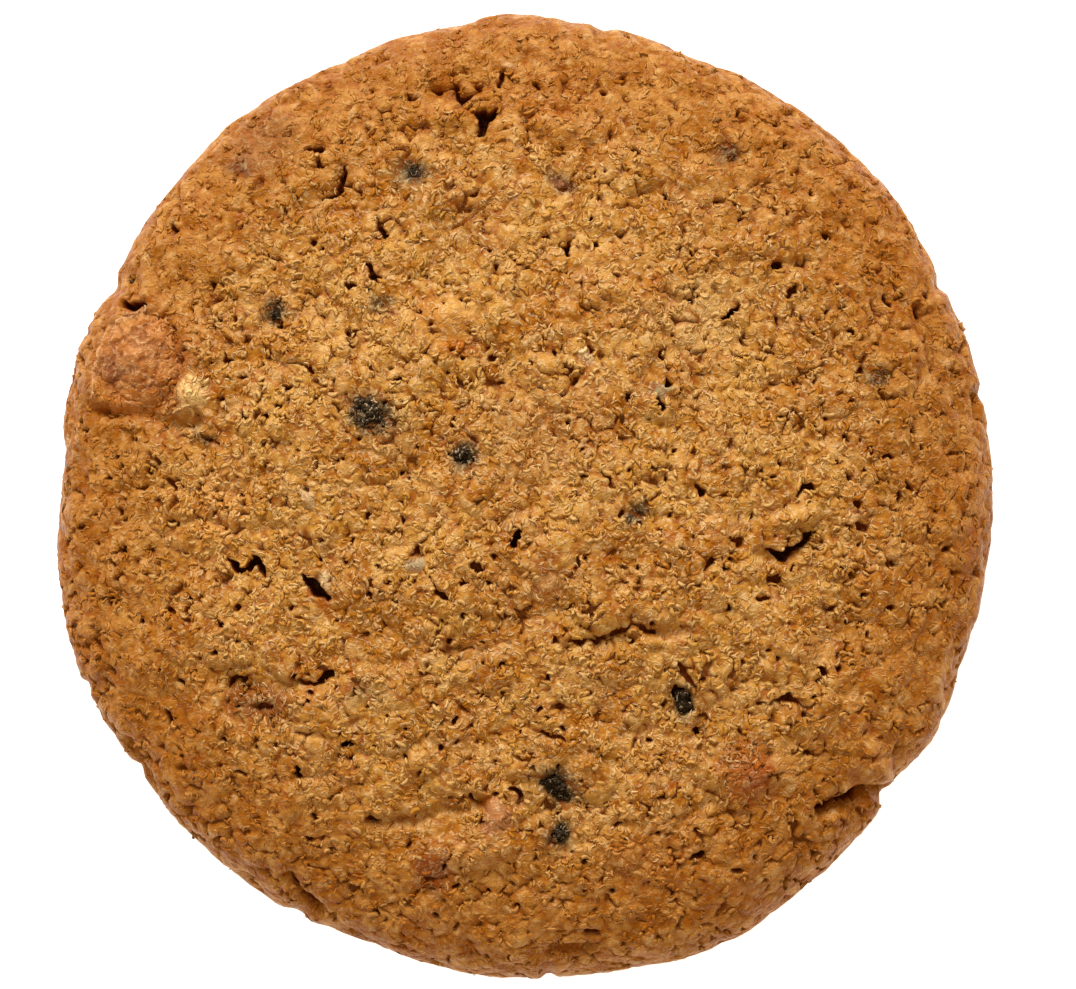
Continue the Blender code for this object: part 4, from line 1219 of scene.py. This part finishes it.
def make_dark_fruit_material(name, deep, skin_tone, line_tone):
    """Mottled skin with paler wrinkles, browner at the edge of a scrap and duller in patches."""
    material, tree, shader = new_material(name)
    place = place_in_mm(tree)
    grain = use_group(tree, CRUMB_GRAIN, {"Place": place, "Swirl": 0.7, "Lines": 6.0})
    mottle = grain_noise(tree, place, SCRAP_MOTTLE_PER_MM)["Fac"]
    skin = mixed(tree, between(tree, mottle, 0.4, 0.62), deep, skin_tone)
    skin = mixed(tree, times(tree, grain["Edge"], 0.4), skin, line_tone)
    outer = plus(tree, read_stored(tree, "outer")["Fac"], times(tree, mottle, 0.5))
    skin = tinted(tree, skin, CRUMB_DUST, outer, 0.95, 1.35, most=0.8)
    roughness = between(tree, mottle, 0.4, 0.6, 0.35, 0.6)
    finish_surface(tree, shader, skin, roughness, shine=0.15, bumps=grain["Height"], bump_height=0.18)
    return material


dark_fruit = [make_dark_fruit(node) for node in FRUIT_BITS]
DARK_SKIN = make_dark_fruit_material("dried_dark_fruit", *DARK_TONES)
for bit in dark_fruit:
    bit.data.materials.append(DARK_SKIN)
RED_SCRAP = bpy.data.objects["cranberry_skin_dried"]
RED_SCRAP.data.materials[0] = make_dark_fruit_material("dried_red_skin", *RED_TONES)
print("dark fruit:", len(dark_fruit), "pieces,", sum(len(bit.data.polygons) for bit in dark_fruit), "faces")

# %% [markdown]
# ## The fruit at the rim
# One whole cranberry lies at the left rim under a thin skin of dough that baked
# onto it. It is terracotta, mottled with mauve and orange brown, and its surface
# carries the crumb's granules on the small plates of a wrinkled skin.

# %% The rim fruit
RIM_FRUIT_GRAIN, RIM_FRUIT_SHRUNK = 0.22, 0.3
RIM_FRUIT_SWELL, RIM_FRUIT_SWELL_ACROSS = 0.45, 3.4
PLATE_HEIGHT, PLATE_ACROSS, PLATE_CREASE, PLATE_LEVEL = 0.24, 2.3, 0.35, 0.8    # of wrinkled skin
SUNK_AT_RIGHT, SUNK_BETWEEN = 0.9, (-36.0, -32.5)      # its right side is under the crumb


def make_rim_fruit():
    """The fruit at the rim, with the crumb's granules on its wrinkled skin."""
    piece = fruit_copy("cranberry_rim", "cranberry_rim_baked", RIM_FRUIT_GRAIN)
    points, outward = points_of(piece), normals_of(piece)
    height, _ = crumb_relief(points)
    swell = RIM_FRUIT_SWELL * noise_at(points, RIM_FRUIT_SWELL_ACROSS, (6.0, 2.0, 9.0))
    plate = cells_at(curled_round(points), PLATE_ACROSS, (4.4, 1.2, 6.0))
    height = height + backs(plate, PLATE_HEIGHT, PLATE_CREASE, PLATE_LEVEL)
    fold = FOLD_HEIGHT * folded(points[:, 0], points[:, 1])
    points = points + outward * (height + swell + fold - RIM_FRUIT_SHRUNK)[:, None]
    points[:, 2] -= SUNK_AT_RIGHT * smooth_step(points[:, 0], *SUNK_BETWEEN)
    move_points(piece, points)
    store(piece, "crumb", height)
    store(piece, "stain_and_highlight", stain_and_highlight_at(points))
    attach(piece, "root")
    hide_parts("cranberry_rim")
    return piece


# %% The rim fruit's finish
RIM_SKIN_PALE, RIM_SKIN_DEEP = tone(200, 138, 80), tone(144, 78, 30)
RIM_SKIN_CREASE_AND_SHADE, RIM_SKIN_LINE = tone(120, 58, 26), tone(222, 172, 122)
RIM_SKIN_MOTTLE_PER_MM = 0.5


def make_rim_fruit_material():
    """The bake with its stains and painted highlights, mottled paler and deeper, with dark creases (partly
    painted shade) and pale lines.
    """
    material, tree, shader = new_material("crusted_fruit")
    place = place_in_mm(tree)
    grain = use_group(tree, CRUMB_GRAIN, {"Place": place, "Swirl": 1.0, "Lines": 4.0})
    body, _ = baked_colour(tree, place)
    mottle = grain_noise(tree, place, RIM_SKIN_MOTTLE_PER_MM, roughness=0.6)["Fac"]
    body = tinted(tree, body, RIM_SKIN_PALE, mottle, 0.45, 0.62, most=0.5)
    body = tinted(tree, body, RIM_SKIN_DEEP, mottle, 0.45, 0.3, most=0.7)
    crumb = read_stored(tree, "crumb")["Fac"]
    # darker where the skin lies low: partly its own deeper colour, partly painted shade in the creases
    body = tinted(tree, body, RIM_SKIN_CREASE_AND_SHADE, crumb, -0.02, -0.2, most=0.6)
    body = mixed(tree, times(tree, grain["Edge"], 0.5), body, RIM_SKIN_LINE)
    finish_surface(tree, shader, body, roughness=0.42, shine=0.3, bumps=grain["Height"], bump_height=0.16)
    return material


rim_fruit = make_rim_fruit()
rim_fruit.data.materials.append(make_rim_fruit_material())
print("rim fruit:", len(rim_fruit.data.polygons), "faces")

# %% [markdown]
# ## Curled flakes
# The finest thing that catches the light is the bran: thin shells, half a
# millimetre to a millimetre and a half long, that curled in the oven and stand out
# of the crumb on edge. Each is a small blade, bent along its length, with a foot in
# the dough and a narrow crest. One blade is a strip of triangular sections between
# two tips. Thousands of them are the same sections again, in numpy, each with its
# own place, turn, length, bend and lean.

# %% Many bent blades as one mesh
BLADE_SECTIONS = 4
BLADE_POINTS = 3 * BLADE_SECTIONS + 2
TIPS_SUNK, FOOT_SUNK = 0.3, 0.6       # as shares of a blade's height
TAPER = 0.55                          # how much lower and narrower a blade gets towards its tips
ASLANT = (0.3, 0.2, 0.93)             # crossed with an outward direction, it gives one along the skin
TINY = 1e-9                           # so that nothing is divided by 0


def blade_faces():
    """The triangles of one blade: a tip, the sections of three points, a tip."""
    faces = []
    last = BLADE_POINTS - 1
    end = last - 3
    for corner in range(3):
        after = (corner + 1) % 3
        faces.append((0, 1 + after, 1 + corner))
        faces.append((last, end + corner, end + after))
        for section in range(BLADE_SECTIONS - 1):
            a, b = 1 + 3 * section, 4 + 3 * section
            faces += [(a + corner, a + after, b + after), (a + corner, b + after, b + corner)]
    return np.array(faces)


def blades(places, ups, length, height, breadth, bend, lean, turn):
    """Points of many bent blades, one row of BLADE_POINTS for each place (mm)."""
    side = np.cross(ups, ASLANT)
    side /= np.linalg.norm(side, axis=1)[:, None] + TINY
    third = np.cross(ups, side)
    cosine, sine = np.cos(turn)[:, None], np.sin(turn)[:, None]
    first, second = side * cosine + third * sine, third * cosine - side * sine
    leaned = ups * np.cos(lean)[:, None] + second * np.sin(lean)[:, None]
    across = second * np.cos(lean)[:, None] - ups * np.sin(lean)[:, None]
    radius = (length / bend)[:, None]
    rows = []
    for share in np.linspace(-0.5, 0.5, BLADE_SECTIONS + 2):
        angle = (share * bend)[:, None]
        middle = places + first * radius * np.sin(angle) + across * radius * (1.0 - np.cos(angle))
        inward = across * np.cos(angle) - first * np.sin(angle)
        if abs(share) == 0.5:
            rows.append(middle - leaned * (TIPS_SUNK * height)[:, None])
            continue
        full = 1.0 - (2.0 * share) ** 2 * TAPER
        foot, tip = leaned * (FOOT_SUNK * height)[:, None], leaned * (height * full)[:, None]
        half = inward * (breadth * full / 2)[:, None]
        rows += [middle - foot - half, middle - foot + half, middle + tip]
    return np.stack(rows, axis=1)


# %% One mesh of many blades, with its map
BLADE_MARGIN = 0.15                   # round each blade's place on the map


def map_blades(piece, count):
    """A map for baking: each blade has a small square of its own."""
    in_a_row = math.ceil(math.sqrt(count))
    numbers = corner_points(piece)
    blade, point = numbers // BLADE_POINTS, numbers % BLADE_POINTS
    section = np.clip((point + 2) // 3, 0, BLADE_SECTIONS + 1) / (BLADE_SECTIONS + 1)
    side = np.where((point == 0) | (point == BLADE_POINTS - 1), 0.5, (point + 2) % 3 / 2)
    u = blade % in_a_row + BLADE_MARGIN + (1.0 - 2 * BLADE_MARGIN) * section
    v = blade // in_a_row + BLADE_MARGIN + (1.0 - 2 * BLADE_MARGIN) * side
    lay_map(piece, np.stack([u, v], axis=1) / in_a_row)


def joined(name, points, faces):
    """One mesh object from many blades that share their faces' pattern."""
    count, each = points.shape[:2]
    all_faces = (faces[None] + np.arange(count)[:, None, None] * each).reshape(-1, faces.shape[1])
    mesh = bpy.data.meshes.new(name)
    mesh.from_pydata((points.reshape(-1, 3) * MM).tolist(), [], all_faces.tolist())
    mesh.shade_smooth()
    piece = bpy.data.objects.new(name, mesh)
    bpy.context.scene.collection.objects.link(piece)
    map_blades(piece, count)
    return piece


# %% Where scattered things may lie
HIGHEST_FOOT = solid_high[2] / MM - 0.35      # what stands here still ends below the solids' top
LOWEST_FOOT, DEEPEST_FOOT = 2.0, 0.2          # above the floor, and down in a hole
FEWER_ON_FLANK, FLANK_FACING = 0.02, (0.5, 0.85)
FEWER_NEAR_RIM, FEWER_ON_SMOOTH = 0.5, 0.93
BARE_SHARE, BARE_ACROSS, BARE_BETWEEN = 0.7, 3.2, (-0.1, 0.35)    # patches of smooth crumb
FRUIT_BARE_TO = (-38.0, -34.5)                # the left of the rim fruit is bare skin
CLEAR_OF_FRUIT = 0.8                          # as a share of a dark scrap's oval


def together(read, pieces):
    """What points_of or normals_of reads from several pieces, as one array."""
    return np.concatenate([read(piece) for piece in pieces])


def free_places(count, random):
    """Places on the top and flank, away from holes and dark fruit, with the outward directions."""
    points, normals = together(points_of, (dough, rim_fruit)), together(normals_of, (dough, rim_fruit))
    depth = np.concatenate([stored(dough, "depth"), np.zeros(len(rim_fruit.data.vertices))])
    on_fruit = len(dough.data.vertices)       # the rim fruit's points start here
    bare = smooth_step(noise_at(points, BARE_ACROSS, (2.0, 9.0, 4.0)), *BARE_BETWEEN)
    wanted = FEWER_ON_FLANK + (1.0 - FEWER_ON_FLANK) * smooth_step(normals[:, 2], *FLANK_FACING)
    wanted *= 1.0 - FEWER_NEAR_RIM * towards_rim(points)
    wanted *= 1.0 - BARE_SHARE * bare
    wanted[on_fruit:] *= smooth_step(points[on_fruit:, 0], *FRUIT_BARE_TO)
    wanted *= 1.0 - FEWER_ON_SMOOTH * smooth_there(points[:, 0], points[:, 1])
    wanted *= (depth < DEEPEST_FOOT) & (points[:, 2] > LOWEST_FOOT) & (points[:, 2] < HIGHEST_FOOT)
    for oval in FRUIT_BITS.values():
        wanted *= oval_distance(points[:, 0], points[:, 1], *oval) > CLEAR_OF_FRUIT
    chosen = random.choice(len(points), count, replace=False, p=wanted / wanted.sum())
    return points[chosen], normals[chosen]


# %% Thin bran flakes and thick oat curls
# Each kind: count, seed, length, height, breadth (low and high, mm), bend (radians), most lean.
KINDS = {
    "bran_flakes": (7800, 7, (0.5, 1.1), (0.05, 0.15), (0.12, 0.28), (0.8, 3.2), 0.9),
    "oat_curls": (7800, 11, (0.7, 1.5), (0.04, 0.13), (0.33, 0.6), (1.2, 4.0), 0.5),
    "fruit_curls": (900, 3, (0.35, 0.9), (0.05, 0.22), (0.08, 0.2), (0.6, 3.2), 0.8),
}
DULLER_NEAR_RIM = 0.5
LOWER_BETWEEN = (0.8, 0.3)      # blades get lower as the place they stand on gets steeper


def draw_blades(name, places, ups, random, lower=1.0):
    """One mesh of a kind's blades, each with a size, bend, lean and turn of its own."""
    count, _, *spans, lean = KINDS[name]
    length, height, breadth, bend = (random.uniform(*span, count) for span in spans)
    leans, turns = random.uniform(-lean, lean, count), random.uniform(0.0, 2 * math.pi, count)
    points = blades(places, ups, length, height * lower, breadth, bend, leans, turns)
    return joined(name, points, blade_faces())


def scatter(name):
    """Blades of one kind over the crumb, with the crumb's stains and painted highlights, and each in its
    own shade.
    """
    count, seed = KINDS[name][:2]
    random = np.random.default_rng(seed)
    places, ups = free_places(count, random)
    lower = 1.0 - FLANK_CALM * smooth_step(ups[:, 2], *LOWER_BETWEEN)
    piece = draw_blades(name, places, ups, random, lower)
    shade = random.uniform(0.0, 1.0, count) * (1.0 - DULLER_NEAR_RIM * towards_rim(places))
    store(piece, "shade", np.repeat(shade, BLADE_POINTS))
    store(piece, "stain_and_highlight", np.repeat(stain_and_highlight_at(places), BLADE_POINTS, axis=0))
    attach(piece, "root")
    return piece


flakes, curls = scatter("bran_flakes"), scatter("oat_curls")
print("flakes and curls:", len(flakes.data.polygons), len(curls.data.polygons), "triangles")

# %% Curls on the dark fruit
FRUIT_FACING = 0.15             # curls stand where the skin faces up at least this much
FRUIT_CURL_TONES, FRUIT_CURL_STRAW = (tone(18, 12, 8), tone(58, 42, 30)), tone(190, 166, 132)


def scatter_on_dark_fruit():
    """Grey and black curls that stand on the burst skins."""
    count, seed = KINDS["fruit_curls"][:2]
    random = np.random.default_rng(seed)
    bits = [bit for bit in dark_fruit if bit is not RED_SCRAP]
    points, normals = together(points_of, bits), together(normals_of, bits)
    open_side = np.flatnonzero((normals[:, 2] > FRUIT_FACING) & (points[:, 2] < HIGHEST_FOOT))
    chosen = random.choice(open_side, count, replace=False)
    piece = draw_blades("fruit_curls", points[chosen], normals[chosen], random)
    store(piece, "shade", np.repeat(random.uniform(0.0, 1.0, count), BLADE_POINTS))
    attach(piece, "root")
    return piece


def make_fruit_curl_material():
    """Nearly black, and grey to straw on one curl in three."""
    material, tree, shader = new_material("burst_skin_curls")
    shade = read_stored(tree, "shade")["Fac"]
    body = mixed(tree, between(tree, shade, 0.0, 0.7), *FRUIT_CURL_TONES)
    body = tinted(tree, body, FRUIT_CURL_STRAW, shade, 0.7, 1.0)
    finish_surface(tree, shader, body, roughness=0.4, shine=0.25)
    return material


fruit_curls = scatter_on_dark_fruit()
fruit_curls.data.materials.append(make_fruit_curl_material())
print("fruit curls:", len(fruit_curls.data.polygons), "triangles")

# %% The finish of the flakes and curls
BRAN_TONES = tone(171, 94, 12), tone(231, 193, 138)
OAT_TONES = tone(159, 84, 4), tone(221, 181, 122)
BRAN_GRAIN_PER_MM = 3.2


def make_bran_material(name, deep, pale, pale_share):
    """Baked colour, deeper or paler by a share that differs from flake to flake."""
    material, tree, shader = new_material(name)
    place = place_in_mm(tree)
    body, _ = baked_colour(tree, place)
    shade = read_stored(tree, "shade")["Fac"]
    body = tinted(tree, body, deep, shade, 0.4, 0.0, most=0.5)
    body = tinted(tree, body, pale, shade, 0.3, 1.0, most=pale_share)
    fine = grain_noise(tree, place, BRAN_GRAIN_PER_MM, detail=1.0, roughness=0.6)["Fac"]
    finish_surface(tree, shader, body, roughness=0.33, shine=0.38, bumps=fine, bump_height=0.1)
    return material


flakes.data.materials.append(make_bran_material("pale_bran", *BRAN_TONES, 0.75))
curls.data.materials.append(make_bran_material("golden_oat", *OAT_TONES, 0.55))
